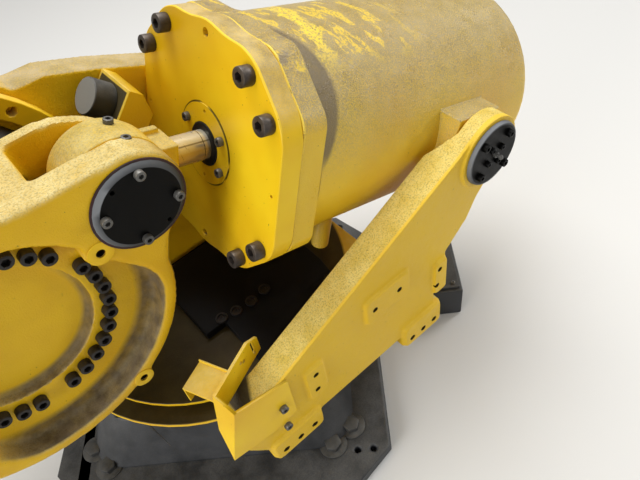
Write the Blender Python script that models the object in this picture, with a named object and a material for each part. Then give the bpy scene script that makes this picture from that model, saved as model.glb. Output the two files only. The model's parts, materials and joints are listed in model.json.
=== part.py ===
# Industrial robot arm, lower half: foot casting, swinging turret with its two side plates,
# the counterbalance cylinder with its rod, and the lower arm with its hub and elbow.
# Metres. +Z is up, +X runs to the rear of the robot, +Y to its drive side.
# The origin is on the floor, under the vertical swing axis.

import math

import bmesh
import bpy
from mathutils import Matrix, Vector

# Sizes that drive the whole robot
arm_plane_y = -0.135          # vertical plane that the lower arm and the balancer share
hub_x = -0.354                # hub axis, about which the lower arm tilts
hub_z = 0.705
trunnion_x = 0.498            # axis on which the balancer rocks between the side plates
trunnion_z = 0.635
crank_radius = 0.290          # hub axis to rod pin
crank_angle = math.radians(25.5)
swing_gap = 0.0055            # clearance between the turret and the foot casting
seat_gap = 0.0003             # gap that touching pieces keep
cut_over = 0.01               # how far a cutter runs past the surface that it opens

# Lower arm
arm_near_width = 0.104        # near face of the arm from the rod's plane
arm_far_width = 0.075         # its drive-side face
arm_length = 1.050            # hub axis to elbow axis
arm_lean = math.radians(120)
hub_rim_radius = 0.267
hub_recess_low_radius = 0.241
hub_recess_high_radius = 0.192
hub_recess_depth = 0.040
hub_centre_radius = 0.134
hub_centre_depth = 0.020
ear_radius = 0.088
ear_back = 0.008              # centre of the ears' rounding, behind the rod pin
far_ear_radius = 0.058
far_ear_shares = ((0.29, 0.98), (0.20, 0.955), (0.10, 0.89), (0.02, 0.81), (-0.09, 0.70), (-0.20, 0.53))
ear_top_height = 0.090        # flat top of the ears above the rod pin
ear_top_length = 0.165
fork_side_gap = 0.0015        # between the rod eye and each ear
fork_clearance = 0.012
fork_pocket_length = 0.107
pocket_floor_drop = 0.130
lug_radius = 0.024
lug_hole_radius = 0.007
lug_reach = 0.198
low_lug_radius = 0.021
low_lug_sunk = 0.005          # centre of the lower lug, inside the hub's rim
low_lug_angle = math.radians(-61.3)
elbow_radius = 0.185
elbow_bore_radius = 0.075
arm_panel_depth = 0.022
arm_panel_border = 0.050

# Rod pin, rod and rod end
pin_radius = 0.030
pin_fit = 0.0003
cap_face_radius = 0.0642
cap_base_radius = 0.0735
cap_thickness = 0.0082
eye_radius = 0.084
eye_back = 0.004              # the eye's outside is turned about a centre behind the pin
eye_far_radius = 0.060
eye_half_width = 0.050
eye_bore_radius = 0.048
neck_half_size = 0.032
neck_end = 0.108              # rod pin to the end of the square neck
neck_step_height = 0.009
neck_step_width = 0.014
rod_groove_depth = 0.0012
rod_groove_at = 0.150
rod_inner_end = 0.560

# Balancer
plate_front = 0.177           # rod pin to the face of the front plate
plate_thickness = 0.040
plate_bulge_half = 0.060
plate_bulge = 0.008
housing_end = 0.264
cylinder_radius = 0.203
cylinder_wall = 0.013
cylinder_end = 0.860
cylinder_round = 0.028
drain_radius = 0.018          # round stub under the cylinder
drain_back = 0.231            # trunnion axis to the stub
drain_aside = 0.100
drain_drop = 0.042
drain_start_share = 0.80      # where the stub starts inside the wall, of the cylinder's radius
gland_proud = 0.0016
seal_proud = 0.005
jack_hole_radius = 0.008
block_half = 0.062
block_proud = 0.037           # trunnion blocks past the cylinder
block_gap = 0.003             # trunnion block to the thinned part of each side plate
cylinder_side_gap = 0.011     # cylinder to each side plate
plate_half_share = 1.01       # sizes of the front plate and the rod, of the cylinder's radius
plate_corner_share = 1.1626
gland_share = 0.362
seal_share = 0.192
rod_share = 0.1305
jack_hole_share = 0.951

# Side plates of the turret
cheek_thickness = 0.064
cheek_front_x = -0.162
cheek_bottom_z = 0.245
cheek_boss_radius = 0.075
cheek_boss_proud = 0.005
foot_pad_drop = 0.040
foot_pad_proud = 0.010
pad_proud = 0.008
relief_run = 0.058            # slope down to the thinned part by the trunnion
relief_low_gap = 0.012
trunnion_pin_radius = 0.035
trunnion_cap_radius = 0.0646
trunnion_cap_thickness = 0.009
far_hub_radius = 0.300
shoulder_ring_radius = 0.290
shoulder_ring_bore = 0.253
shoulder_ring_depth = 0.024
shoulder_hole_radius = 0.009
shoulder_hole_circle = 0.271
shoulder_hole_count = 12
gearbox_radius = 0.236
gearbox_flange_radius = 0.190
motor_mount_radius = 0.150
motor_mount_depth = 0.060
motor_half_size = 0.085
motor_length = 0.235

# Rubber stop
bumper_radius = 0.033
bumper_length = 0.042
bumper_tilt = math.radians(45)
bumper_x = -0.007            # centre of the stop's seat
bumper_z = 0.833
bumper_block_half = 0.042
bumper_block_depth = 0.060
bumper_block_width = 0.105

# Turret table and swing bearing
table_top_z = 0.330
table_thickness = 0.040
bearing_outer_share = 0.741    # of the foot's half width
bearing_race_share = 0.873    # radii of the races, of the outer one
bearing_inner_share = 0.667
bearing_race_gap = 0.0006
bearing_height = 0.0145
table_flange = 0.011
table_top_share = 0.909
table_groove_share = 0.830
ledge_share = (-0.25, 0.97)   # ledge under the near side plate, in shares of the table's radius
cover_height = 0.022          # black cover over the swing gears
cover_front_x = -0.077
cover_rear_x = 0.230
cover_step_y = -0.180
cover_step_x = -0.029
cover_far_gap = 0.019         # to the far side plate
cover_near_y = -0.290
cover_slope = 0.035
cover_skirt_height = 0.006
swing_motor_half = 0.075
swing_motor_height = 0.300

# Foot casting, turned against the turret
base_heading = math.radians(-38)
foot_half = 0.405
foot_corner_share = 0.195     # cut corners of the foot plate, of its half width
foot_thickness = 0.040
foot_hole_radius = 0.0075
foot_hole_shares = ((0.805, 0.822), (0.896, 0.822))
skirt_low_share = 0.802       # foot of the skirt, of the foot's half width
skirt_top_share = 0.647
skirt_top_z = 0.165
rib_half_thickness = 0.014
connector_end = 0.642
connector_near_side = 0.033   # its ends, beside the foot's centre line
connector_far_side = 0.231
connector_height = 0.106
connector_lid_thickness = 0.008

# Bracket for the cable guide
bracket_gauge = 0.006
bracket_front_x = -0.189      # lowest front corner of the plate on the side plate
bracket_length = 0.150
bracket_top_z = 0.480
bracket_height = 0.150
bracket_wrap = 0.047          # how far the bent side reaches round the nose
bracket_wall_lean = 0.021
bracket_wall_cut = 0.009
bracket_wall_lift = 0.061
bracket_arm_angle = math.radians(24)
bracket_arm_length = 0.140
bracket_arm_height = 0.062
bracket_arm_rise = 0.017
bracket_hole_radius = 0.0045
bracket_slot_length = 0.032
guide_box_length = 0.060
guide_box_width = 0.067
guide_box_height = 0.049
guide_box_gauge = 0.003
guide_box_lip = 0.006

# Number of sides on round forms
many = 56
some = 32
few = 16


def clear_scene():
    """Start from nothing."""
    for thing in list(bpy.data.objects):
        bpy.data.objects.remove(thing, do_unlink=True)


def paint(name, colour, roughness, metallic=0.0):
    """A plain finish for one piece."""
    finish = bpy.data.materials.new(name)
    finish.use_nodes = True
    shader = finish.node_tree.nodes["Principled BSDF"]
    shader.inputs["Base Color"].default_value = (*colour, 1.0)
    shader.inputs["Roughness"].default_value = roughness
    shader.inputs["Metallic"].default_value = metallic
    finish.diffuse_color = (*colour, 1.0)
    return finish


def frame_at(name, place, turn=None):
    """An empty that carries pieces."""
    empty = bpy.data.objects.new(name, None)
    bpy.context.collection.objects.link(empty)
    empty.location = place
    if turn:
        empty.rotation_euler = turn
    return empty


def add_piece(name, bm, finish, carrier):
    """Turn a bmesh into a named object on its carrier."""
    bmesh.ops.remove_doubles(bm, verts=bm.verts, dist=1e-6)
    bmesh.ops.recalc_face_normals(bm, faces=bm.faces)
    mesh = bpy.data.meshes.new(name)
    bm.to_mesh(mesh)
    bm.free()
    mesh.shade_smooth()
    mesh.set_sharp_from_angle(angle=math.radians(35))
    own_finish = finish.copy()
    own_finish.name = name + " finish"
    mesh.materials.append(own_finish)
    piece = bpy.data.objects.new(name, mesh)
    bpy.context.collection.objects.link(piece)
    piece.parent = carrier
    return piece


def combine(piece, bm, how):
    """Join a shape to a piece, or cut it away, in the piece's own frame."""
    bmesh.ops.recalc_face_normals(bm, faces=bm.faces)
    mesh = bpy.data.meshes.new("tool")
    bm.to_mesh(mesh)
    bm.free()
    tool = bpy.data.objects.new("tool", mesh)
    bpy.context.collection.objects.link(tool)
    tool.parent = piece.parent
    step = piece.modifiers.new("step", "BOOLEAN")
    step.operation = how
    step.solver = "EXACT"
    step.object = tool
    bpy.context.view_layer.update()
    ready = piece.evaluated_get(bpy.context.evaluated_depsgraph_get())
    shaped = bpy.data.meshes.new_from_object(ready)
    piece.modifiers.remove(step)
    old = piece.data
    piece.data = shaped
    shaped.name = piece.name
    bpy.data.meshes.remove(old)
    bpy.data.objects.remove(tool, do_unlink=True)
    bpy.data.meshes.remove(mesh)
    shaped.shade_smooth()
    shaped.set_sharp_from_angle(angle=math.radians(35))


def cut(piece, bm):
    combine(piece, bm, "DIFFERENCE")


def join(piece, bm):
    combine(piece, bm, "UNION")


def arc(centre_x, centre_z, radius, start, end, steps):
    """Points of an arc, angles in radians."""
    points = []
    for i in range(steps + 1):
        angle = start + (end - start) * i / steps
        points.append((centre_x + radius * math.cos(angle), centre_z + radius * math.sin(angle)))
    return points


def slab(outline, low, high):
    """Solid of an XZ outline, from y = low to y = high."""
    bm = bmesh.new()
    front = [bm.verts.new((x, low, z)) for x, z in outline]
    back = [bm.verts.new((x, high, z)) for x, z in outline]
    bm.faces.new(front)
    bm.faces.new(list(reversed(back)))
    count = len(outline)
    for i in range(count):
        j = (i + 1) % count
        bm.faces.new((front[i], front[j], back[j], back[i]))
    bmesh.ops.recalc_face_normals(bm, faces=bm.faces)
    return bm


def plate_z(outline, low, high):
    """Solid of an XY outline, from z = low to z = high."""
    bm = slab(outline, low, high)
    for v in bm.verts:
        x, y, z = v.co
        v.co = (x, z, y)
    bmesh.ops.recalc_face_normals(bm, faces=bm.faces)
    return bm


def plate_x(outline, low, high):
    """Solid of a YZ outline, from x = low to x = high."""
    bm = slab(outline, low, high)
    for v in bm.verts:
        x, y, z = v.co
        v.co = (y, x, z)
    bmesh.ops.recalc_face_normals(bm, faces=bm.faces)
    return bm


def turned(profile, axis, centre, sides):
    """Solid turned about an axis: profile points are (radius, distance along the axis)."""
    bm = bmesh.new()
    rings = []
    for radius, along in profile:
        if radius == 0:
            rings.append([bm.verts.new((0, 0, along))])
            continue
        ring = []
        for i in range(sides):
            angle = 2 * math.pi * i / sides
            ring.append(bm.verts.new((radius * math.cos(angle), radius * math.sin(angle), along)))
        rings.append(ring)
    count = len(rings)
    for k in range(count):
        one, two = rings[k], rings[(k + 1) % count]
        if len(one) == 1 and len(two) == 1:
            continue
        for i in range(sides):
            j = (i + 1) % sides
            if len(one) == 1:
                bm.faces.new((one[0], two[j], two[i]))
            elif len(two) == 1:
                bm.faces.new((one[i], one[j], two[0]))
            else:
                bm.faces.new((one[i], one[j], two[j], two[i]))
    if axis == "Y":
        bmesh.ops.transform(bm, matrix=Matrix.Rotation(-math.pi / 2, 4, "X"), verts=bm.verts)
    if axis == "X":
        bmesh.ops.transform(bm, matrix=Matrix.Rotation(math.pi / 2, 4, "Y"), verts=bm.verts)
    bmesh.ops.translate(bm, vec=Vector(centre), verts=bm.verts)
    bmesh.ops.recalc_face_normals(bm, faces=bm.faces)
    return bm


def rod_shape(radius, low, high, axis, centre, sides):
    return turned([(0, low), (radius, low), (radius, high), (0, high)], axis, centre, sides)


def ring_shape(inner, outer, low, high, axis, centre, sides):
    return turned([(inner, low), (outer, low), (outer, high), (inner, high)], axis, centre, sides)


def box(low, high):
    """Solid between two corners."""
    outline = [(low[0], low[2]), (high[0], low[2]), (high[0], high[2]), (low[0], high[2])]
    return slab(outline, low[1], high[1])


def rounded(points, radius, steps=4):
    """An outline whose corners are rounded, less where a side is too short."""
    out = []
    count = len(points)
    for i in range(count):
        before = Vector(points[i - 1])
        here = Vector(points[i])
        after = Vector(points[(i + 1) % count])
        back = (before - here)
        ahead = (after - here)
        half = back.angle(ahead) / 2
        reach = min(radius / math.tan(half), back.length * 0.45, ahead.length * 0.45)
        start = here + back.normalized() * reach
        end = here + ahead.normalized() * reach
        for k in range(steps + 1):
            t = k / steps
            spot = start * (1 - t) ** 2 + here * 2 * t * (1 - t) + end * t ** 2
            out.append((spot.x, spot.y))
    return out


yellow = paint("yellow casting paint", (0.78, 0.50, 0.02), 0.45)
steel_black = paint("black oxide steel", (0.02, 0.02, 0.02), 0.45)
casting_black = paint("black casting paint", (0.03, 0.03, 0.035), 0.6)
chrome = paint("hard chrome", (0.62, 0.60, 0.55), 0.18, 1.0)
bare_steel = paint("bare steel", (0.35, 0.34, 0.32), 0.4, 1.0)
rubber = paint("black rubber", (0.03, 0.03, 0.03), 0.8)

# Places that follow from the sizes
pin_x = hub_x + crank_radius * math.cos(crank_angle)
pin_z = hub_z + crank_radius * math.sin(crank_angle)
balancer_length = math.hypot(trunnion_x - pin_x, trunnion_z - pin_z)
balancer_slope = math.atan2(pin_z - trunnion_z, trunnion_x - pin_x)
near_cheek_in = cylinder_radius + cylinder_side_gap
cheek_out = near_cheek_in + cheek_thickness
plate_half_size = cylinder_radius * plate_half_share
plate_corner_radius = cylinder_radius * plate_corner_share
gland_radius = cylinder_radius * gland_share
seal_radius = cylinder_radius * seal_share
rod_radius = cylinder_radius * rod_share
jack_hole_reach = cylinder_radius * jack_hole_share
block_reach = cylinder_radius + block_proud
cover_far_y = arm_plane_y + near_cheek_in - cover_far_gap
bearing_outer_radius = foot_half * bearing_outer_share
bearing_race_radius = bearing_outer_radius * bearing_race_share
bearing_inner_radius = bearing_outer_radius * bearing_inner_share
table_radius = near_cheek_in - arm_plane_y - seat_gap


def make_foot(carrier):
    """Square foot casting with its skirt, ribs and drum."""
    edge = foot_half - foot_half * foot_corner_share
    outline = [(foot_half, -edge), (foot_half, edge), (edge, foot_half), (-edge, foot_half),
               (-foot_half, edge), (-foot_half, -edge), (-edge, -foot_half), (edge, -foot_half)]
    foot = add_piece("foot_plate", plate_z(outline, 0, foot_thickness), casting_black, carrier)
    for turn in range(4):
        angle = turn * math.pi / 2
        for across, along in foot_hole_shares:
            x = foot_half * across
            y = -foot_half * along
            spot = (x * math.cos(angle) - y * math.sin(angle),
                    x * math.sin(angle) + y * math.cos(angle), 0)
            cut(foot, rod_shape(foot_hole_radius, -cut_over, foot_thickness + cut_over, "Z", spot,
                                few // 2))

    drum_top = table_top_z - table_thickness - swing_gap - bearing_height
    skirt = bmesh.new()
    low = foot_thickness + seat_gap
    corners = ((1, 1), (-1, 1), (-1, -1), (1, -1))
    foot_side = foot_half * skirt_low_share
    top_side = foot_half * skirt_top_share
    lower = [skirt.verts.new((foot_side * x, foot_side * y, low)) for x, y in corners]
    upper = [skirt.verts.new((top_side * x, top_side * y, skirt_top_z)) for x, y in corners]
    skirt.faces.new(lower)
    skirt.faces.new(upper)
    for i in range(4):
        j = (i + 1) % 4
        skirt.faces.new((lower[i], lower[j], upper[j], upper[i]))
    bmesh.ops.bevel(skirt, geom=[e for e in skirt.edges if abs(e.verts[0].co.z - e.verts[1].co.z) > low],
                    offset=foot_half * foot_corner_share, segments=4, profile=0.5, affect="EDGES")
    body = add_piece("foot_body", skirt, casting_black, carrier)
    drum = [(0, low), (bearing_outer_radius, low), (bearing_outer_radius, drum_top), (0, drum_top)]
    join(body, turned(drum, "Z", (0, 0, 0), many))
    for turn in range(4):
        angle = math.pi / 4 + turn * math.pi / 2
        reach = bearing_outer_radius + foot_half * foot_corner_share
        outline = [(0, low), (reach, low), (reach, foot_thickness * 2), (bearing_outer_radius,
                                                                         skirt_top_z * 1.3),
                   (0, skirt_top_z * 1.3)]
        rib = slab(outline, -rib_half_thickness, rib_half_thickness)
        bmesh.ops.rotate(rib, matrix=Matrix.Rotation(angle, 3, "Z"), verts=rib.verts)
        join(body, rib)
    return drum_top


def make_connector(carrier):
    """Connector housing behind the foot casting, with its lid."""
    start = foot_half + seat_gap
    low = [(start, 0), (connector_end, 0), (connector_end, connector_height), (start, connector_height)]
    bm = slab(low, connector_near_side, connector_far_side)
    add_piece("connector_box", bm, casting_black, carrier)
    lid_low = connector_height + seat_gap
    border = connector_lid_thickness
    add_piece("connector_lid",
              box((start + border, connector_near_side + border, lid_low),
                  (connector_end - border, connector_far_side - border,
                   lid_low + connector_lid_thickness)),
              steel_black, carrier)


def make_bearing(foot_carrier, turret_carrier, drum_top):
    """Outer race on the foot, inner race under the table."""
    add_piece("swing_outer_race",
              ring_shape(bearing_race_radius, bearing_outer_radius, drum_top + seat_gap,
                         drum_top + bearing_height,
                         "Z", (0, 0, 0), many), bare_steel, foot_carrier)
    table_low = table_top_z - table_thickness
    add_piece("swing_inner_race",
              ring_shape(bearing_inner_radius, bearing_race_radius - bearing_race_gap,
                         drum_top + swing_gap, table_low - seat_gap, "Z", (0, 0, 0), many),
              bare_steel, turret_carrier)


def make_table(carrier):
    """Round floor of the turret: a top flange and a wider foot flange with a groove between them."""
    low = table_top_z - table_thickness
    near_face = arm_plane_y - near_cheek_in + seat_gap
    groove = table_radius * table_groove_share
    top_radius = table_radius * table_top_share
    profile = [(0, low), (table_radius, low), (table_radius, low + table_flange), (groove,
                                                                                   low + table_flange),
               (groove, table_top_z - table_flange), (top_radius, table_top_z - table_flange),
               (top_radius, table_top_z), (0, table_top_z)]
    table = add_piece("turret_table", turned(profile, "Z", (0, 0, 0), many), yellow, carrier)
    join(table, box((table_radius * ledge_share[0], near_face, low + table_flange / 2),
                    (table_radius * ledge_share[1], 0, table_top_z)))
    return table


def near_cheek_outline():
    """Side plate from its nose to the trunnion boss, in shares of its length and height."""
    length = trunnion_x - cheek_front_x
    height = trunnion_z - cheek_bottom_z
    body_share = [(0.788, 0.0), (0.788, 0.200), (0.833, 0.218), (0.838, 0.474), (0.929, 0.610), (0.970,
                                                                                                 0.731)]
    nose_share = [(0.071, 0.0), (0.0, 0.205), (0.0, 0.300), (0.060, 0.462), (0.136, 0.500)]
    neck_share = (0.868, 1.090)

    def place(share):
        return (cheek_front_x + length * share[0], cheek_bottom_z + height * share[1])

    rear = [place(s) for s in body_share]
    front = [place(s) for s in reversed(nose_share)]
    boss = arc(trunnion_x, trunnion_z, cheek_boss_radius, math.radians(-82), math.radians(118), 22)
    return rear + boss + [place(neck_share)] + rounded_run(front)


def rounded_run(points):
    """Round the inner corners of an open run of points."""
    out = [points[0]]
    for i in range(1, len(points) - 1):
        a, b, c = Vector(points[i - 1]), Vector(points[i]), Vector(points[i + 1])
        start = b + (a - b) * 0.35
        end = b + (c - b) * 0.35
        for k in range(4):
            t = k / 3
            spot = start * (1 - t) ** 2 + b * 2 * t * (1 - t) + end * t ** 2
            out.append((spot.x, spot.y))
    out.append(points[-1])
    return out


def chamfered_pad(low, high, face_y, rise, back_y):
    """Raised pad whose sides slope: outline low to high in XZ, face at face_y."""
    bm = bmesh.new()
    flat = rounded([(low[0], low[1]), (high[0], low[1]), (high[0], high[1]), (low[0], high[1])],
                   rise * 1.2, 3)
    mid = Vector(((low[0] + high[0]) / 2, (low[1] + high[1]) / 2))
    wide = []
    for x, z in flat:
        away = Vector((x, z)) - mid
        grow = 1 + rise * 0.7 / away.length
        wide.append((mid.x + away.x * grow, mid.y + away.y * grow))
    front = [bm.verts.new((x, face_y, z)) for x, z in flat]
    skirt = [bm.verts.new((x, face_y + rise, z)) for x, z in wide]
    back = [bm.verts.new((x, back_y, z)) for x, z in wide]
    bm.faces.new(front)
    bm.faces.new(list(reversed(back)))
    count = len(front)
    for i in range(count):
        j = (i + 1) % count
        bm.faces.new((front[i], front[j], skirt[j], skirt[i]))
        bm.faces.new((skirt[i], skirt[j], back[j], back[i]))
    bmesh.ops.recalc_face_normals(bm, faces=bm.faces)
    return bm


def trunnion_relief(side):
    """Room that a side plate leaves for the trunnion block; side is -1 for the near plate."""
    front = -block_half - block_gap
    reach = cheek_boss_radius + cut_over
    shallow = side * (near_cheek_in - cut_over)
    deep = side * (block_reach + block_gap)
    outline = [(front - relief_run, shallow), (front, deep), (reach, deep), (reach, shallow)]
    room = plate_z(outline, -block_half - relief_low_gap, reach)
    place = Matrix.Translation((trunnion_x, arm_plane_y, trunnion_z))
    turn = Matrix.Rotation(balancer_slope, 4, "Y")
    bmesh.ops.transform(room, matrix=place @ turn, verts=room.verts)
    return room


def make_near_cheek(carrier):
    """Near side plate with its pads, foot blocks, trunnion boss and tapped holes."""
    out_y = arm_plane_y - cheek_out
    in_y = arm_plane_y - near_cheek_in
    mid_y = (out_y + in_y) / 2
    cheek = add_piece("near_side_plate", slab(near_cheek_outline(), out_y, in_y), yellow, carrier)
    join(cheek, rod_shape(cheek_boss_radius, out_y - cheek_boss_proud, mid_y, "Y",
                          (trunnion_x, 0, trunnion_z), some))
    length = trunnion_x - cheek_front_x
    height = trunnion_z - cheek_bottom_z
    pads_share = [((0.489, 0.423), (0.662, 0.603)), ((0.242, 0.192), (0.308, 0.449)),
                  ((0.783, 0.187), (0.835, 0.444))]
    pad_holes_share = [(0.520, 0.513), (0.621, 0.513), (0.276, 0.385), (0.270, 0.251), (0.802, 0.390),
                       (0.791, 0.259)]
    foot_share = [((0.076, 0.056), (0.258, 0.056)), ((0.641, 0.072), (0.808, 0.072))]

    def place(share):
        return (cheek_front_x + length * share[0], cheek_bottom_z + height * share[1])

    for low, high in pads_share:
        join(cheek, chamfered_pad(place(low), place(high), out_y - pad_proud, pad_proud, mid_y))
    for low, high in foot_share:
        low_corner = place(low)
        high_corner = place(high)
        block = chamfered_pad((low_corner[0], cheek_bottom_z - foot_pad_drop), high_corner,
                              out_y - foot_pad_proud, foot_pad_proud, in_y)
        join(cheek, block)
        for share in (0.18, 0.5, 0.82):
            x = low_corner[0] + (high_corner[0] - low_corner[0]) * share
            cut(cheek, rod_shape(foot_hole_radius, out_y - foot_pad_proud - cut_over, mid_y, "Y",
                                 (x, 0, cheek_bottom_z - foot_pad_drop / 2), few // 2))
    for share in pad_holes_share:
        x, z = place(share)
        cut(cheek, rod_shape(foot_hole_radius * 0.8, out_y - pad_proud - cut_over, mid_y, "Y", (x, 0,
                                                                                                z),
                                                                                                few // 2))
    cut(cheek, trunnion_relief(-1))
    cut(cheek, rod_shape(trunnion_pin_radius + pin_fit, out_y - cut_over * 2, in_y + cut_over, "Y",
                         (trunnion_x, 0, trunnion_z), some))
    return cheek


def make_far_cheek(carrier):
    """Drive side plate with the round shoulder of the arm's hub."""
    in_y = arm_plane_y + near_cheek_in
    out_y = in_y + cheek_thickness
    foot_z = table_top_z + seat_gap
    span = trunnion_x - hub_x
    top_share = [(0.560, 0.377), (0.434, 0.537), (0.335, 0.643)]
    hub_arc = arc(hub_x, hub_z, far_hub_radius, math.radians(41), math.radians(232), 30)
    top = [(hub_x + span * u, hub_z + far_hub_radius * v) for u, v in top_share]
    boss = arc(trunnion_x, trunnion_z, cheek_boss_radius, math.radians(-82), math.radians(112), 20)
    foot_half_x = table_radius * 0.90
    rise = trunnion_z - foot_z
    rear = [(foot_half_x, foot_z), (trunnion_x - rise * 0.36, foot_z + rise * 0.35),
            (trunnion_x - rise * 0.16, foot_z + rise * 0.50), (trunnion_x - rise * 0.06,
                                                               foot_z + rise * 0.66)]
    front = [(-foot_half_x, foot_z)]
    outline = rear + boss + top + hub_arc + front
    cheek = add_piece("far_side_plate", slab(outline, in_y, out_y), yellow, carrier)
    join(cheek, rod_shape(cheek_boss_radius, in_y + cheek_thickness / 2, out_y + cheek_boss_proud, "Y",
                          (trunnion_x, 0, trunnion_z), some))
    cut(cheek, trunnion_relief(1))
    cut(cheek, rod_shape(trunnion_pin_radius + pin_fit, in_y - cut_over, out_y + cut_over * 2, "Y",
                         (trunnion_x, 0, trunnion_z), some))
    cut(cheek, rod_shape(gearbox_flange_radius + seat_gap, in_y - cut_over, out_y + cut_over, "Y",
                         (hub_x, 0, hub_z), many))
    return cheek


def make_shoulder(carrier):
    """Ring, gearbox and motor on the hub axis."""
    in_y = arm_plane_y + near_cheek_in
    out_y = in_y + cheek_thickness
    centre = (hub_x, 0, hub_z)
    ring = add_piece("shoulder_ring",
                     ring_shape(shoulder_ring_bore, shoulder_ring_radius, in_y - shoulder_ring_depth,
                                in_y - seat_gap, "Y", centre, many), yellow, carrier)
    for i in range(shoulder_hole_count):
        angle = math.radians(40.5) + 2 * math.pi * i / shoulder_hole_count
        spot = (hub_x + shoulder_hole_circle * math.cos(angle), 0,
                hub_z + shoulder_hole_circle * math.sin(angle))
        cut(ring, rod_shape(shoulder_hole_radius, in_y - shoulder_ring_depth - cut_over,
                            in_y + cut_over, "Y", spot,
                            few // 2))
    arm_far = arm_plane_y + arm_far_width + seat_gap
    profile = [(0, arm_far), (gearbox_radius * 0.85, arm_far), (gearbox_radius,
                                                                arm_far + shoulder_ring_depth),
               (gearbox_radius, in_y - seat_gap), (gearbox_flange_radius, in_y - seat_gap),
               (gearbox_flange_radius, out_y), (0, out_y)]
    add_piece("shoulder_gearbox", turned(profile, "Y", centre, many), casting_black, carrier)
    start = out_y + seat_gap
    mount_profile = [(0, start), (gearbox_flange_radius, start),
                     (gearbox_flange_radius, start + motor_mount_depth * 0.4),
                     (motor_mount_radius, start + motor_mount_depth * 0.5),
                     (motor_mount_radius, start + motor_mount_depth), (0, start + motor_mount_depth)]
    add_piece("shoulder_motor_flange", turned(mount_profile, "Y", centre, some), yellow, carrier)
    face = start + motor_mount_depth + seat_gap
    corner = motor_half_size * 0.3
    left, right = hub_x - motor_half_size, hub_x + motor_half_size
    lower, upper = hub_z - motor_half_size, hub_z + motor_half_size
    outline = rounded([(left, lower), (right, lower), (right, upper), (left, upper)], corner, 3)
    motor = add_piece("shoulder_motor", slab(outline, face, face + motor_length), steel_black, carrier)
    plug_half = motor_half_size * 0.3
    join(motor, box((hub_x - plug_half, face + motor_length * 0.75, hub_z),
                    (hub_x + plug_half, face + motor_length * 0.92, hub_z + motor_half_size * 1.35)))


def make_stop(carrier):
    """Rubber stop on its block at the far side plate."""
    in_y = arm_plane_y + near_cheek_in
    reach = bumper_block_width
    mid_y = in_y - reach / 2
    turn = Matrix.Rotation(bumper_tilt, 4, "Y")
    place = Matrix.Translation((bumper_x, 0, bumper_z)) @ turn
    half = bumper_block_half
    deep = bumper_block_depth
    outline = [(0, -half), (deep, -half), (deep, half * 0.3), (deep * 0.45, half), (0, half)]
    block = slab(outline, mid_y - reach / 2 - seat_gap, in_y - seat_gap)
    bmesh.ops.transform(block, matrix=place, verts=block.verts)
    add_piece("stop_block", block, yellow, carrier)
    profile = [(0, -bumper_length), (bumper_radius * 0.97, -bumper_length), (bumper_radius,
                                                                             -bumper_length * 0.94),
               (bumper_radius, -seat_gap), (0, -seat_gap)]
    pad = turned(profile, "X", (0, mid_y, 0), some)
    bmesh.ops.transform(pad, matrix=place, verts=pad.verts)
    add_piece("rubber_stop", pad, rubber, carrier)


def make_table_parts(carrier):
    """Cover over the swing gears, and the swing motor on the drive side."""
    low = table_top_z + seat_gap
    top = low + cover_height
    foot = low + cover_skirt_height
    section = [(cover_far_y, low), (cover_step_y - cover_slope, low), (cover_step_y - cover_slope, foot),
               (cover_step_y, top), (cover_far_y, top)]
    cover = add_piece("gear_cover", plate_x(section, cover_front_x, cover_rear_x), steel_black, carrier)
    join(cover, box((cover_step_x, cover_near_y, low), (cover_rear_x * 0.9, cover_step_y, foot)))
    cut(cover, box((cover_front_x - cut_over, cover_near_y, low - cut_over),
                   (cover_step_x, cover_step_y + cover_slope * 0.55, top + cut_over)))
    out_y = arm_plane_y + near_cheek_in + cheek_thickness
    centre = (0, out_y + swing_motor_half + cut_over)
    side = swing_motor_half
    flange = [(centre[0] - side, centre[1] - side), (centre[0] + side, centre[1] - side),
              (centre[0] + side, centre[1] + side), (centre[0] - side, centre[1] + side)]
    motor = add_piece("swing_motor",
                      plate_z(rounded(flange, side * 0.3, 3), low, low + swing_motor_height),
                      steel_black, carrier)
    join(motor, rod_shape(side * 1.05, low, low + side * 0.5, "Z", (centre[0], centre[1], 0), some))


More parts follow.
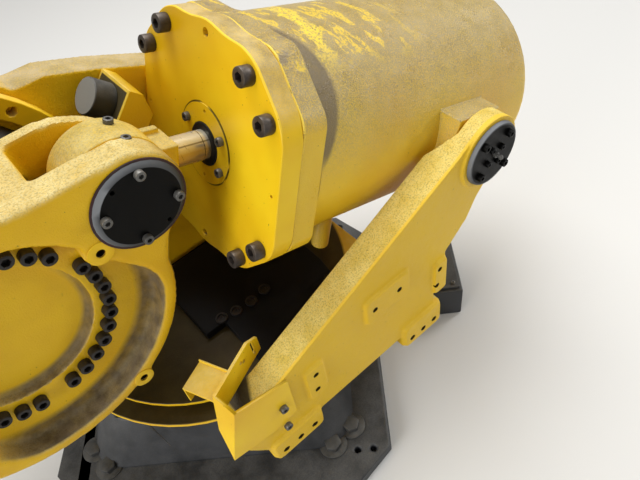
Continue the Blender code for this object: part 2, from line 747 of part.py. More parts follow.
def make_arm(carrier):
    """Lower arm casting, in a frame whose origin is the hub axis."""
    pin = (crank_radius * math.cos(crank_angle), crank_radius * math.sin(crank_angle))
    near = -arm_near_width
    far = arm_far_width
    along = (math.cos(arm_lean), math.sin(arm_lean))
    across = (math.sin(arm_lean), -math.cos(arm_lean))
    elbow = (arm_length * along[0], arm_length * along[1])

    def on_arm(forward, side):
        return (forward * along[0] + side * across[0], forward * along[1] + side * across[1])

    top_z = pin[1] + ear_top_height
    waist_share = [(1.00, -0.02), (1.058, 0.13), (1.13, 0.245)]
    waist = [(hub_rim_radius * u, hub_rim_radius * v) for u, v in waist_share]
    ear = arc(pin[0] - ear_back, pin[1], ear_radius, math.radians(-38), math.radians(80), 17)
    ear_top = [(pin[0] - ear_top_length, top_z + ear_top_height * 0.05)]
    elbow_arc = arc(elbow[0], elbow[1], elbow_radius, arm_lean - math.radians(95),
                    arm_lean + math.radians(95), 28)
    front = [on_arm(arm_length * 0.45, -hub_rim_radius * 0.78)]
    rim = arc(0, 0, hub_rim_radius, arm_lean + math.radians(62), 2 * math.pi - math.radians(11), 36)
    outline = waist + ear + ear_top + elbow_arc + front + rim
    arm = add_piece("lower_arm", slab(outline, near, far), yellow, carrier)

    low_lug_reach = hub_rim_radius - low_lug_sunk
    low_lug = (low_lug_reach * math.cos(low_lug_angle), low_lug_reach * math.sin(low_lug_angle))

    recess = []
    for i in range(many):
        angle = 2 * math.pi * i / many
        off_axis = abs((angle - arm_lean + math.pi) % (2 * math.pi) - math.pi)
        ease = min(1.0, max(0.0, (off_axis - math.radians(98)) / math.radians(36)))
        ease = ease * ease * (3 - 2 * ease)
        radius = hub_recess_high_radius + (hub_recess_low_radius - hub_recess_high_radius) * ease
        recess.append((radius * math.cos(angle), radius * math.sin(angle)))
    cut(arm, slab(recess, near - cut_over, near + hub_recess_depth))
    cut(arm, rod_shape(hub_centre_radius, near - cut_over, near + hub_recess_depth + hub_centre_depth,
                       "Y",
                       (0, 0, 0), many))
    lug = (lug_reach * math.cos(crank_angle), lug_reach * math.sin(crank_angle))
    join(arm, rod_shape(lug_radius, near, near + hub_recess_depth + cut_over, "Y", (lug[0], 0, lug[1]),
                        few))
    join(arm, rod_shape(low_lug_radius, near, far, "Y", (low_lug[0], 0, low_lug[1]), few))
    for spot in (lug, low_lug):
        cut(arm, rod_shape(lug_hole_radius, near - cut_over, near + hub_recess_depth, "Y", (spot[0], 0,
                                                                                            spot[1]),
                           few // 2))

    fork_half = eye_half_width + fork_side_gap
    slot_radius = eye_radius + fork_clearance
    slot = [(pin[0] - fork_pocket_length, top_z + arm_near_width),
            (pin[0] - fork_pocket_length, pin[1] - pocket_floor_drop),
            (pin[0] - slot_radius * 0.62, pin[1] - pocket_floor_drop)]
    slot += arc(pin[0], pin[1], slot_radius, math.radians(232), math.radians(300), 9)
    slot += [(pin[0] + ear_radius * 2, slot[-1][1]), (pin[0] + ear_radius * 2, top_z + arm_near_width)]
    cut(arm, slab(slot, -fork_half, fork_half))
    fall = [(pin[0] - ear_top_length * u, pin[1] + ear_top_height * v) for u, v in far_ear_shares]
    fall += arc(pin[0], pin[1], far_ear_radius, math.radians(25), math.radians(-60), 7)
    fall += [(pin[0] + ear_radius * 2, fall[-1][1]), (pin[0] + ear_radius * 2, top_z + arm_near_width),
             (fall[0][0], top_z + arm_near_width)]
    cut(arm, slab(fall, fork_half - seat_gap, far + cut_over))
    cut(arm, rod_shape(pin_radius + pin_fit, near - cut_over, far + cut_over, "Y", (pin[0], 0, pin[1]),
                       some))
    cut(arm, rod_shape(elbow_bore_radius, near - cut_over, far + cut_over, "Y", (elbow[0], 0,
                                                                                 elbow[1]), some))

    panel = [on_arm(arm_length * 0.33, hub_rim_radius * 0.48), on_arm(arm_length * 0.80,
                                                                      hub_rim_radius * 0.40),
             on_arm(arm_length * 0.80, -hub_rim_radius * 0.40), on_arm(arm_length * 0.33,
                                                                       -hub_rim_radius * 0.52)]
    panel = rounded(panel, arm_panel_border, 5)
    cut(arm, slab(panel, near - cut_over, near + arm_panel_depth))
    cut(arm, slab(panel, far - arm_panel_depth, far + cut_over))
    return elbow


def make_elbow(carrier, elbow):
    """Seat ring for the upper arm on the drive side, and a plain cover on the near side."""
    centre = (elbow[0], 0, elbow[1])
    start = arm_far_width + seat_gap
    add_piece("elbow_seat_ring",
              ring_shape(elbow_bore_radius, elbow_radius * 0.88, start, start + shoulder_ring_depth,
                         "Y", centre, many),
              bare_steel, carrier)
    low = -arm_near_width - seat_gap
    add_piece("elbow_cover",
              turned([(0, low), (elbow_radius * 0.66, low), (elbow_radius * 0.66,
                                                             low - cap_thickness * 0.6),
                      (elbow_radius * 0.62, low - cap_thickness), (0, low - cap_thickness)], "Y",
                      centre, some),
              steel_black, carrier)


def make_pin_parts(carrier):
    """Rod pin and its two caps, in the arm's frame."""
    centre = (crank_radius * math.cos(crank_angle), 0, crank_radius * math.sin(crank_angle))
    add_piece("rod_pin", rod_shape(pin_radius, -arm_near_width, arm_far_width, "Y", centre, some),
              bare_steel, carrier)
    far_share = far_ear_radius * 0.86 / cap_base_radius
    for name, side, start, share in (("pin_cap_near", -1, -arm_near_width - seat_gap, 1),
                                     ("pin_cap_far", 1, arm_far_width + seat_gap, far_share)):
        end = start + side * cap_thickness
        profile = [(0, start), (cap_base_radius * share, start),
                   (cap_base_radius * share, start + side * cap_thickness * 0.2),
                   (cap_face_radius * share, end), (0, end)]
        add_piece(name, turned(profile, "Y", centre, some), steel_black, carrier)


def plate_outline(grow=0.0):
    """Front plate outline in YZ: a square cut by a circle, with a small bulge at top and bottom."""
    half = plate_half_size + grow
    radius = plate_corner_radius + grow
    corner = math.acos(half / radius)
    points = []
    for quarter in range(4):
        middle = quarter * math.pi / 2
        if quarter % 2:
            for i in range(9):
                side = plate_bulge_half * (i / 4 - 1)
                swell = plate_bulge * (0.5 + 0.5 * math.cos(math.pi * side / plate_bulge_half))
                points.append((side * -math.sin(middle), (half + swell) * math.sin(middle)))
        points += arc(0, 0, radius, middle + corner, middle + math.pi / 2 - corner, 8)
    return points


def make_balancer(carrier):
    """Balancer in a frame on the trunnion axis; its own X runs down the cylinder to the rear."""
    base = -balancer_length
    face = base + plate_front
    back = face + plate_thickness
    end = base + housing_end
    plate = add_piece("balancer_front_plate", plate_x(plate_outline(), face, back), yellow, carrier)
    cut(plate, rod_shape(gland_radius + seat_gap * 3, face - cut_over, back + cut_over, "X", (0, 0, 0),
                         many))
    for spot in ((0, jack_hole_reach), (0, -jack_hole_reach)):
        cut(plate, rod_shape(jack_hole_radius, face - cut_over, face + plate_thickness / 2, "X",
                             (0, spot[0], spot[1]), few // 2))
    housing = add_piece("balancer_housing", plate_x(plate_outline(-0.002), back + seat_gap, end),
                        yellow, carrier)
    cut(housing, rod_shape(gland_radius + seat_gap * 3, back - cut_over, end + cut_over, "X", (0, 0,
                                                                                               0), many))

    start = end + seat_gap
    inner = cylinder_radius - cylinder_wall
    stop = base + cylinder_end
    profile = [(inner, start), (cylinder_radius, start), (cylinder_radius, stop - cylinder_round)]
    for k in range(1, 5):
        angle = k / 4 * math.pi / 2
        profile.append((cylinder_radius - cylinder_round * (1 - math.cos(angle)),
                        stop - cylinder_round * (1 - math.sin(angle))))
    profile += [(0, stop), (0, stop - cylinder_wall * 1.5), (inner, stop - cylinder_wall * 1.5)]
    cylinder = add_piece("balancer_cylinder", turned(profile, "X", (0, 0, 0), many), yellow, carrier)
    join(cylinder, rod_shape(drain_radius, -cylinder_radius - drain_drop,
                             -cylinder_radius * drain_start_share, "Z",
                             (-drain_back, -drain_aside, 0), few))
    for side in (-1, 1):
        low = (-block_half, side * inner * 0.985, -block_half)
        high = (block_half, side * block_reach, block_half)
        block = box((low[0], min(low[1], high[1]), low[2]), (high[0], max(low[1], high[1]), high[2]))
        edges = [e for e in block.edges if all(abs(v.co.y) > block_reach * 0.99 for v in e.verts)]
        bmesh.ops.bevel(block, geom=edges, offset=block_half * 0.05, segments=1, affect="EDGES")
        join(cylinder, block)
        ends = sorted((side * inner * 0.9, side * (block_reach + cut_over)))
        cut(cylinder, rod_shape(trunnion_pin_radius + pin_fit, ends[0], ends[1], "Y", (0, 0, 0), some))

    add_piece("gland_plate",
              ring_shape(seal_radius + seat_gap, gland_radius, face - gland_proud, end - seat_gap, "X",
                         (0, 0, 0), many),
              yellow, carrier)
    add_piece("rod_seal",
              turned([(rod_radius + seat_gap, face - seal_proud), (seal_radius * 0.92, face - seal_proud),
                      (seal_radius, face - seal_proud * 0.5), (seal_radius, back),
                      (rod_radius + seat_gap, back)],
                     "X", (0, 0, 0), some), rubber, carrier)
    groove = base + rod_groove_at
    rod = [(0, base + neck_end + seat_gap), (rod_radius, base + neck_end + seat_gap),
           (rod_radius, groove - rod_groove_depth), (rod_radius - rod_groove_depth, groove),
           (rod_radius, groove + rod_groove_depth), (rod_radius, base + rod_inner_end),
           (inner - cylinder_wall, base + rod_inner_end), (inner - cylinder_wall,
                                                           base + rod_inner_end + plate_thickness),
           (0, base + rod_inner_end + plate_thickness)]
    add_piece("balancer_rod", turned(rod, "X", (0, 0, 0), some), chrome, carrier)


def make_rod_end(carrier):
    """Eye and square neck that hold the rod on its pin."""
    base = -balancer_length
    far_start = eye_half_width * 0.1
    profile = [(0, -eye_half_width), (eye_radius, -eye_half_width), (eye_radius, far_start),
               (eye_radius * 0.93, (far_start + eye_half_width) / 2), (eye_far_radius, eye_half_width),
               (0, eye_half_width)]
    eye = add_piece("rod_end", turned(profile, "Y", (base - eye_back, 0, 0), many), yellow, carrier)
    join(eye, box((base, -neck_half_size, -neck_half_size), (base + neck_end, neck_half_size,
                                                             neck_half_size)))
    join(eye, box((base, neck_half_size - neck_step_width, 0),
                  (base + neck_end * 0.93, neck_half_size + seat_gap * 3,
                   neck_half_size + neck_step_height)))
    cut(eye, rod_shape(eye_bore_radius + seat_gap, -eye_half_width - cut_over,
                       eye_half_width + cut_over, "Y",
                       (base, 0, 0), some))
    add_piece("eye_bearing",
              ring_shape(pin_radius + pin_fit, eye_bore_radius, -eye_half_width * 0.96,
                         eye_half_width * 0.96, "Y",
                         (base, 0, 0), some), bare_steel, carrier)


def make_trunnions(carrier):
    """Trunnion pins and caps, on the trunnion axis."""
    inner = cylinder_radius - cylinder_wall
    for name, side in (("near", -1), ("far", 1)):
        start = side * (inner + cylinder_wall * 0.3)
        end = side * (cheek_out + cheek_boss_proud)
        pin = rod_shape(trunnion_pin_radius, min(start, end), max(start, end), "Y", (0, 0, 0), some)
        add_piece("trunnion_pin_" + name, pin, bare_steel, carrier)
        low = end + side * seat_gap
        high = low + side * trunnion_cap_thickness
        profile = [(0, low), (trunnion_cap_radius * 1.03, low), (trunnion_cap_radius * 1.03,
                                                                 low + (high - low) * 0.35),
                   (trunnion_cap_radius, high), (0, high)]
        add_piece("trunnion_cap_" + name, turned(profile, "Y", (0, 0, 0), some), steel_black, carrier)


def sheet(points, thickness):
    """Flat sheet from three-dimensional corner points, thickened along a vector."""
    bm = bmesh.new()
    lower = [bm.verts.new(p) for p in points]
    upper = [bm.verts.new(Vector(p) + Vector(thickness)) for p in points]
    bm.faces.new(lower)
    bm.faces.new(list(reversed(upper)))
    for i in range(len(points)):
        j = (i + 1) % len(points)
        bm.faces.new((lower[i], lower[j], upper[j], upper[i]))
    bmesh.ops.recalc_face_normals(bm, faces=bm.faces)
    return bm


def make_bracket(carrier):
    """Bent sheet bracket round the nose of the near side plate, with the open guide box on it."""
    out_y = arm_plane_y - cheek_out - seat_gap
    face_y = out_y - bracket_gauge
    low = bracket_top_z - bracket_height
    front_share = [(0.0, 0.07), (0.71, -0.08), (1.0, 0.0), (1.0, 0.80), (0.26, 1.0)]
    corners = [(bracket_front_x + bracket_length * u, low + bracket_height * v) for u, v in front_share]
    bracket = add_piece("cable_bracket", slab(corners, face_y, out_y), yellow, carrier)

    top_corner = Vector((corners[4][0], face_y, corners[4][1]))
    low_corner = Vector((corners[0][0], face_y, corners[0][1]))
    bend = Vector((corners[4][0] - bracket_gauge * 1.5, face_y + bracket_wrap,
                   bracket_top_z + bracket_arm_rise))
    back_corner = Vector((bend.x - bracket_wall_lean, bend.y - bracket_wall_cut,
                          low_corner.z + bracket_wall_lift))
    join(bracket, sheet([low_corner, top_corner, bend, back_corner], (bracket_gauge, 0, 0)))

    along = Vector((math.cos(bracket_arm_angle), math.sin(bracket_arm_angle), 0))
    aside = Vector((-along.y, along.x, 0))
    up = Vector((0, 0, 1))
    arm_share = [(0.0, 0.0), (0.80, 0.0), (1.0, -0.35), (1.0, -1.0), (0.0, -1.0)]
    arm_points = [bend + along * bracket_arm_length * u + up * bracket_arm_height * v for u,
                  v in arm_share]
    join(bracket, sheet(arm_points, aside * -bracket_gauge))

    def hole_at(distance, drop, radius):
        tool = rod_shape(radius, -cut_over, cut_over, "Z", (0, 0, 0), few)
        place = Matrix(((along.x, 0, aside.x, 0), (along.y, 0, aside.y, 0), (0, 1, 0, 0), (0, 0, 0, 1)))
        spot = bend + along * distance - up * drop
        bmesh.ops.transform(tool, matrix=Matrix.Translation(spot) @ place, verts=tool.verts)
        return tool

    for share in (0.58, 0.64):
        cut(bracket, hole_at(bracket_arm_length * share, bracket_arm_height * (share * 2 - 0.85),
                             bracket_hole_radius))
    slot = hole_at(bracket_arm_length * 0.87, bracket_arm_height * 0.5, bracket_hole_radius)
    for v in slot.verts:
        side = 1 if v.co.z > bend.z - bracket_arm_height * 0.5 else -1
        v.co.z += side * bracket_slot_length / 2
    cut(bracket, slot)

    start = bend - along * bracket_gauge / 2 + aside * seat_gap
    start.z = bracket_top_z

    def inside_box(from_along, to_along, from_aside, to_aside, top, bottom):
        corner = start + along * from_along + aside * from_aside - up * top
        reach = along * (to_along - from_along)
        wide = aside * (to_aside - from_aside)
        return sheet([corner, corner + reach, corner + reach + wide, corner + wide], (0, 0, top - bottom))

    gauge = guide_box_gauge
    guide = add_piece("cable_guide_box", inside_box(0, guide_box_length, 0, guide_box_width, 0,
                                                    guide_box_height),
                      yellow, carrier)
    cut(guide, inside_box(gauge, guide_box_length - gauge, gauge, guide_box_width - gauge, gauge,
                          guide_box_height + cut_over))
    cut(guide, inside_box(-cut_over, gauge + cut_over, gauge, guide_box_width - gauge, guide_box_lip,
                          guide_box_height + cut_over))
    join(guide, inside_box(guide_box_length - gauge, guide_box_length, 0, guide_box_width,
                           -guide_box_lip, gauge))


def build():
    clear_scene()
    foot_frame = frame_at("foot_frame", (0, 0, 0), (0, 0, base_heading))
    turret = frame_at("swing_axis", (0, 0, 0))
    arm_frame = frame_at("hub_axis", (hub_x, arm_plane_y, hub_z))
    balancer = frame_at("trunnion_axis", (trunnion_x, arm_plane_y, trunnion_z), (0, balancer_slope, 0))
    drum_top = make_foot(foot_frame)
    make_connector(foot_frame)
    make_bearing(foot_frame, turret, drum_top)
    make_table(turret)
    make_near_cheek(turret)
    make_far_cheek(turret)
    make_shoulder(turret)
    make_stop(turret)
    make_table_parts(turret)
    elbow = make_arm(arm_frame)
    make_elbow(arm_frame, elbow)
    make_pin_parts(arm_frame)
    make_balancer(balancer)
    make_rod_end(balancer)
    make_trunnions(balancer)
    make_bracket(turret)


build()
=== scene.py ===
import json
import math

import bpy
from mathutils import Matrix, Vector


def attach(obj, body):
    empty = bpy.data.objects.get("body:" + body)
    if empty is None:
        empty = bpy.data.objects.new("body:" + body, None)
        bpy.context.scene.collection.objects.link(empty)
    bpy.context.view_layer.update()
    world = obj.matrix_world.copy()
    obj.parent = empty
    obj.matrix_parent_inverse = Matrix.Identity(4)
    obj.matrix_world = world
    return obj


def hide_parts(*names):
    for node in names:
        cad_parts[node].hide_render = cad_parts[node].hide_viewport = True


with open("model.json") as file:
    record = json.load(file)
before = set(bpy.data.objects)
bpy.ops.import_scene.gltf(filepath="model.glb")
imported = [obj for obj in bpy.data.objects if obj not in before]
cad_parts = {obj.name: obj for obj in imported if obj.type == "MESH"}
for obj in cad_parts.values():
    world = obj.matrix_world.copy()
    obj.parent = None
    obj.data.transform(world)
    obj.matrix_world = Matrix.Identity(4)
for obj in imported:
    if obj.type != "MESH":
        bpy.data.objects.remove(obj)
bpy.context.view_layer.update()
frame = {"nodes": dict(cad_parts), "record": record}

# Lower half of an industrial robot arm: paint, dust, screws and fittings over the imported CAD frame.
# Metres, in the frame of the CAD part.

# Places that several pieces share
armPlane = -0.135                       # plane of the lower arm and the balancer
rodPin = Vector((-0.0922, armPlane, 0.8298))
hub = Vector((-0.354, armPlane, 0.705))
trunnion = Vector((0.498, armPlane, 0.635))
elbow = Vector((-0.879, armPlane, 1.6143))
cylinderAxis = (trunnion - rodPin).normalized()
cylinderUp = Vector((-cylinderAxis.z, 0, cylinderAxis.x))
sideways = Vector((0, 1, 0))
nearSide = Vector((0, -1, 0))
upwards = Vector((0, 0, 1))
footHeading = math.radians(-38)         # the foot is turned under the arm
squareCorners = [(a, b) for a in (-1, 1) for b in (-1, 1)]

# Small helpers for nodes, selections and meshes


def linear(hexText):
    # sRGB hex to linear colour
    parts = [int(hexText[i:i + 2], 16) / 255 for i in (1, 3, 5)]
    return [p / 12.92 if p <= 0.04045 else ((p + 0.055) / 1.055) ** 2.4 for p in parts] + [1.0]


def addNode(tree, kind, *inputs, **settings):
    # one node with its settings, its inputs in the order it shows them: numbers, hex colours, links or None
    node = tree.nodes.new("ShaderNode" + kind)
    for key, value in settings.items():
        setattr(node, key, value)
    for socket, value in zip([socket for socket in node.inputs if socket.enabled], inputs):
        if isinstance(value, bpy.types.NodeSocket):
            tree.links.new(value, socket)
        elif value is not None:
            socket.default_value = linear(value) if isinstance(value, str) else value
    return next(socket for socket in node.outputs if socket.enabled)


def product(tree, *values):
    result = values[0]
    for value in values[1:]:
        result = addNode(tree, "Math", result, value, operation="MULTIPLY")
    return result


def layOver(tree, ground, coats):
    # coats of colour over a ground, each with its mask
    for mask, tone in coats:
        ground = addNode(tree, "Mix", mask, ground, tone, data_type="RGBA")
    return ground


def blotches(tree, space, millimetres, low, high, start=0.0, end=1.0, detail=3.0, roughness=0.6):
    # noise of a real size, its levels from low to high spread from start to end
    cloud = addNode(tree, "TexNoise", space, 1000 / millimetres, detail, roughness)
    return addNode(tree, "MapRange", cloud, low, high, start, end)


def band(tree, value, start, full, last, end):
    # a mask that rises from start to full and falls again from last to end
    rising = addNode(tree, "MapRange", value, start, full)
    return product(tree, rising, addNode(tree, "MapRange", value, end, last))


def facing(tree, direction, low, high, start=0.0, end=1.0):
    # how far the surface faces a direction, 1 for fully, spread in the same way
    normal = tree.nodes.new("ShaderNodeNewGeometry").outputs["Normal"]
    share = addNode(tree, "VectorMath", normal, Vector(direction).normalized(), operation="DOT_PRODUCT")
    return addNode(tree, "MapRange", share, low, high, start, end)


def placeAlong(tree, space, origin, direction):
    # metres along a direction from an origin
    offset = addNode(tree, "VectorMath", space, Vector(origin), operation="SUBTRACT")
    return addNode(tree, "VectorMath", offset, Vector(direction).normalized(), operation="DOT_PRODUCT")


def radiusAbout(tree, space, origin, axis):
    # metres from an axis through an origin
    offset = addNode(tree, "VectorMath", space, Vector(origin), operation="SUBTRACT")
    swept = addNode(tree, "VectorMath", offset, Vector(axis).normalized(), operation="CROSS_PRODUCT")
    return addNode(tree, "VectorMath", swept, operation="LENGTH")


def newMaterial(name):
    material = bpy.data.materials.new(name)
    material.use_nodes = True
    tree = material.node_tree
    space = tree.nodes.new("ShaderNodeTexCoord").outputs["Object"]
    return material, tree, tree.nodes["Principled BSDF"], space


def deselectAll():
    if bpy.context.object and bpy.context.object.mode != "OBJECT":
        bpy.ops.object.mode_set(mode="OBJECT")
    bpy.ops.object.select_all(action="DESELECT")


def activate(piece):
    deselectAll()
    piece.select_set(True)
    bpy.context.view_layer.objects.active = piece


def smooth(piece, angle=35):
    activate(piece)
    bpy.ops.object.shade_smooth_by_angle(angle=math.radians(angle))


def applyModifiers(piece):
    activate(piece)
    for modifier in list(piece.modifiers):
        bpy.ops.object.modifier_apply(modifier=modifier.name)


def paintWith(piece, material):
    piece.data.materials.clear()
    piece.data.materials.append(material)


def addRounding(piece, width, steps=2, angle=50):
    rounding = piece.modifiers.new("rounding", "BEVEL")
    rounding.width = width
    rounding.segments = steps
    rounding.limit_method = "ANGLE"
    rounding.angle_limit = math.radians(angle)
    rounding.use_clamp_overlap = False
    applyModifiers(piece)


# How the CAD nodes' copies are cleaned: metres and degrees
cleaning = {"merge": 0.00002, "flat": 0.4, "bend": 50, "shade": 40}
# Where the holes are finer than the rounding, only edges over this length get it
longEdges = {"cable_bracket": 0.03}


def mergedCopy(node):
    # a copy of a CAD node, merged, which takes the node's place
    source = frame["nodes"][node]
    piece = source.copy()
    piece.data = source.data.copy()
    piece.name = node + "_shaped"
    piece.data.name = piece.name
    bpy.context.collection.objects.link(piece)
    piece.parent = None
    piece.matrix_world = Matrix.Identity(4)
    activate(piece)
    bpy.ops.object.mode_set(mode="EDIT")
    bpy.ops.mesh.select_all(action="SELECT")
    bpy.ops.mesh.remove_doubles(threshold=cleaning["merge"])
    bpy.ops.object.mode_set(mode="OBJECT")
    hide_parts(node)
    return piece


def roundedCopy(node, width, steps=2):
    # its edges rounded as a machined or bent piece's are
    piece = mergedCopy(node)
    bpy.ops.object.mode_set(mode="EDIT")
    bpy.ops.mesh.dissolve_limited(angle_limit=math.radians(cleaning["flat"]))
    bpy.ops.object.mode_set(mode="OBJECT")
    if node in plateCorners["nodes"]:
        rollCorners(piece, width)
    elif node in longEdges:
        bevelEdges(piece, width, steps, cleaning["bend"], lambda a, b: (b - a).length > longEdges[node])
    elif width:
        addRounding(piece, width, steps)
    smooth(piece, cleaning["shade"])
    return piece


def bevelEdges(piece, width, steps, angle, wanted):
    # a bevel on the edges that bend by more than an angle and whose two ends pass a test
    mesh = piece.data
    sides = {}
    for face in mesh.polygons:
        for key in face.edge_keys:
            sides.setdefault(key, []).append(face.normal.copy())
    if "bevel_weight_edge" in mesh.attributes:
        mesh.attributes.remove(mesh.attributes["bevel_weight_edge"])
    weights = mesh.attributes.new("bevel_weight_edge", "FLOAT", "EDGE")
    for edge in mesh.edges:
        first, second = (mesh.vertices[index].co for index in edge.vertices)
        normals = sides.get(edge.key, [])
        bent = len(normals) == 2 and normals[0].angle(normals[1]) > math.radians(angle)
        weights.data[edge.index].value = float(bent and wanted(first, second))
    bevel = piece.modifiers.new("bevel", "BEVEL")
    bevel.width = width
    bevel.segments = steps
    bevel.limit_method = "WEIGHT"
    applyModifiers(piece)


# The balancer's two plates are near squares; inside is the radius within which nothing is outline, and the
# corner arcs lie within arc degrees of the diagonals
plateCorners = {"nodes": ("balancer_front_plate", "balancer_housing"), "roll": 0.032, "steps": 8,
                "inside": 0.2, "arc": 20, "bend": 15}


def fromCorner(point):
    # degrees round the balancer's axis from the plates' nearest corner; 90 for what isn't on their outline
    aside = (point - rodPin).dot(sideways)
    up = (point - rodPin).dot(cylinderUp)
    if math.hypot(aside, up) < plateCorners["inside"]:
        return 90.0
    return abs(math.degrees(math.atan2(up, aside)) % 90 - 45)


def alongCylinder(first, second):
    return abs((second - first).normalized().dot(cylinderAxis)) > 0.99


def rollCorners(piece, width):
    # each corner of the balancer's plates is one long curve; the rims get a narrow round, the holes none
    mesh = piece.data
    bends = [fromCorner(vertex.co) for vertex in mesh.vertices]
    reach = max(bend for bend in bends if bend < plateCorners["arc"])
    activate(piece)
    bpy.ops.object.mode_set(mode="EDIT")
    bpy.ops.mesh.select_mode(type="EDGE")
    bpy.ops.mesh.select_all(action="DESELECT")
    bpy.ops.object.mode_set(mode="OBJECT")
    for edge in mesh.edges:
        first, second = (mesh.vertices[index].co for index in edge.vertices)
        edge.select = alongCylinder(first, second) and bends[edge.vertices[0]] < reach - 0.5
    bpy.ops.object.mode_set(mode="EDIT")
    bpy.ops.mesh.dissolve_edges(use_verts=True)
    bpy.ops.object.mode_set(mode="OBJECT")
    bevelEdges(piece, plateCorners["roll"], plateCorners["steps"], plateCorners["bend"],
               lambda a, b: alongCylinder(a, b) and fromCorner(a) < plateCorners["arc"])
    bevelEdges(piece, width, 2, cleaning["bend"],
               lambda a, b: not alongCylinder(a, b) and max(fromCorner(a), fromCorner(b)) < 90)


def evenShading(piece):
    # flat faces shade flat up to their rounded edges
    activate(piece)
    weighted = piece.modifiers.new("shading", "WEIGHTED_NORMAL")
    weighted.keep_sharp = True
    applyModifiers(piece)


def castCopy(node, voxel, rounds):
    # its edges and corners soft all round, as a sand casting's are
    piece = mergedCopy(node)
    remesh = piece.modifiers.new("skin", "REMESH")
    remesh.mode = "VOXEL"
    remesh.voxel_size = voxel
    soften = piece.modifiers.new("soften", "SMOOTH")
    soften.factor = 0.5
    soften.iterations = rounds
    applyModifiers(piece)
    activate(piece)
    bpy.ops.object.shade_smooth()
    return piece


def bodyOf(node):
    for body, nodes in frame["record"]["behaviour"]["bodies"].items():
        if node in nodes:
            return body


def turnTo(direction, spin=0.0):
    # turns local +Z to a direction
    return Vector(direction).to_track_quat("Z", "Y").to_matrix().to_4x4() @ Matrix.Rotation(spin, 4, "Z")


def standing(spot, direction, spin=0.0):
    # a piece's place: its foot at a spot, its top to a direction
    return Matrix.Translation(spot) @ turnTo(direction, spin)


def aroundAxis(centre, circle, degrees, face, direction=nearSide):
    # places on a circle about an axis along Y, on the face at that y
    places = []
    for degree in degrees:
        turn = math.radians(degree)
        spot = Vector((centre.x + circle * math.cos(turn), face, centre.z + circle * math.sin(turn)))
        places.append(standing(spot, direction, turn * 3))
    return places


def evenly(start, count):
    # so many angles round a circle, from a start
    return [start + 360 * i / count for i in range(count)]


def onBalancer(along, aside, up):
    # a point given along the cylinder from the rod pin, to the drive side and up from its axis
    return rodPin + cylinderAxis * along + sideways * aside + cylinderUp * up


def joinPieces(pieces, name):
    deselectAll()
    for piece in pieces:
        piece.select_set(True)
    bpy.context.view_layer.objects.active = pieces[0]
    if len(pieces) > 1:
        bpy.ops.object.join()
    piece = bpy.context.object
    piece.name = name
    piece.data.name = name
    return piece


def drill(piece, spots, direction, radius, depth, sides=20):
    # blind holes, all along one direction
    tools = []
    for spot in spots:
        deselectAll()
        bpy.ops.mesh.primitive_cylinder_add(vertices=sides, radius=radius, depth=depth * 2)
        tool = bpy.context.object
        tool.data.transform(standing(spot, direction))
        tools.append(tool)
    tool = joinPieces(tools, "drill")
    bore = piece.modifiers.new("bore", "BOOLEAN")
    bore.operation = "DIFFERENCE"
    bore.solver = "EXACT"
    bore.object = tool
    applyModifiers(piece)
    bpy.data.objects.remove(tool, do_unlink=True)
    smooth(piece, cleaning["shade"])


def placeCopies(master, name, places, body, material):
    # copies of one modelled piece, each with its own mesh, joined as one object; the model itself goes
    copies = []
    for place in places:
        copy = master.copy()
        copy.data = master.data.copy()
        bpy.context.collection.objects.link(copy)
        copy.data.transform(place)
        copies.append(copy)
    bpy.data.objects.remove(master, do_unlink=True)
    piece = joinPieces(copies, name)
    paintWith(piece, material)
    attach(piece, body)
    return piece


def modelStepped(name, steps, sides=32, edge=0.0):
    # a stack of rounds from its foot up: each step is the radius that it ends with and how far it rises
    deselectAll()
    radius = steps[0][0]
    bpy.ops.mesh.primitive_circle_add(vertices=sides, radius=radius, fill_type="NGON")
    piece = bpy.context.object
    piece.name = name
    bpy.ops.object.mode_set(mode="EDIT")
    bpy.ops.mesh.select_all(action="SELECT")
    for nextRadius, rise in steps[1:]:
        bpy.ops.mesh.extrude_region_move(TRANSFORM_OT_translate={"value": (0, 0, rise)})
        scale = nextRadius / radius
        bpy.ops.transform.resize(value=(scale, scale, 1))
        radius = nextRadius
    bpy.ops.mesh.select_all(action="SELECT")
    bpy.ops.mesh.normals_make_consistent(inside=False)
    bpy.ops.object.mode_set(mode="OBJECT")
    if edge:
        addRounding(piece, edge, 2)
    smooth(piece, 35)
    return piece


def modelRing(name, inner, outer, height, edge, sides=64):
    # a flat ring with softened edges, its seat on the ground plane
    deselectAll()
    bpy.ops.mesh.primitive_circle_add(vertices=sides, radius=outer, fill_type="NGON")
    piece = bpy.context.object
    piece.name = name
    bpy.ops.object.mode_set(mode="EDIT")
    bpy.ops.mesh.select_all(action="SELECT")
    bpy.ops.mesh.inset(thickness=outer - inner)
    bpy.ops.mesh.delete(type="FACE")
    bpy.ops.object.mode_set(mode="OBJECT")
    wall = piece.modifiers.new("height", "SOLIDIFY")
    wall.thickness = height
    wall.offset = 1.0
    applyModifiers(piece)
    addRounding(piece, edge, 2)
    smooth(piece, 35)
    return piece


def modelCapScrew(name, sizes, sides=20):
    # socket head: rim rounded, hexagon sunk in the top
    radius, height = sizes["head"], sizes["height"]
    head = modelStepped(name, [(radius, 0), (radius, height)], sides, radius * 0.12)
    deselectAll()
    bpy.ops.mesh.primitive_cylinder_add(vertices=6, radius=sizes["socket"], depth=height,
                                        location=(0, 0, height))
    hexagon = bpy.context.object
    sink = head.modifiers.new("socket", "BOOLEAN")
    sink.operation = "DIFFERENCE"
    sink.solver = "EXACT"
    sink.object = hexagon
    applyModifiers(head)
    bpy.data.objects.remove(hexagon, do_unlink=True)
    smooth(head, 35)
    return head


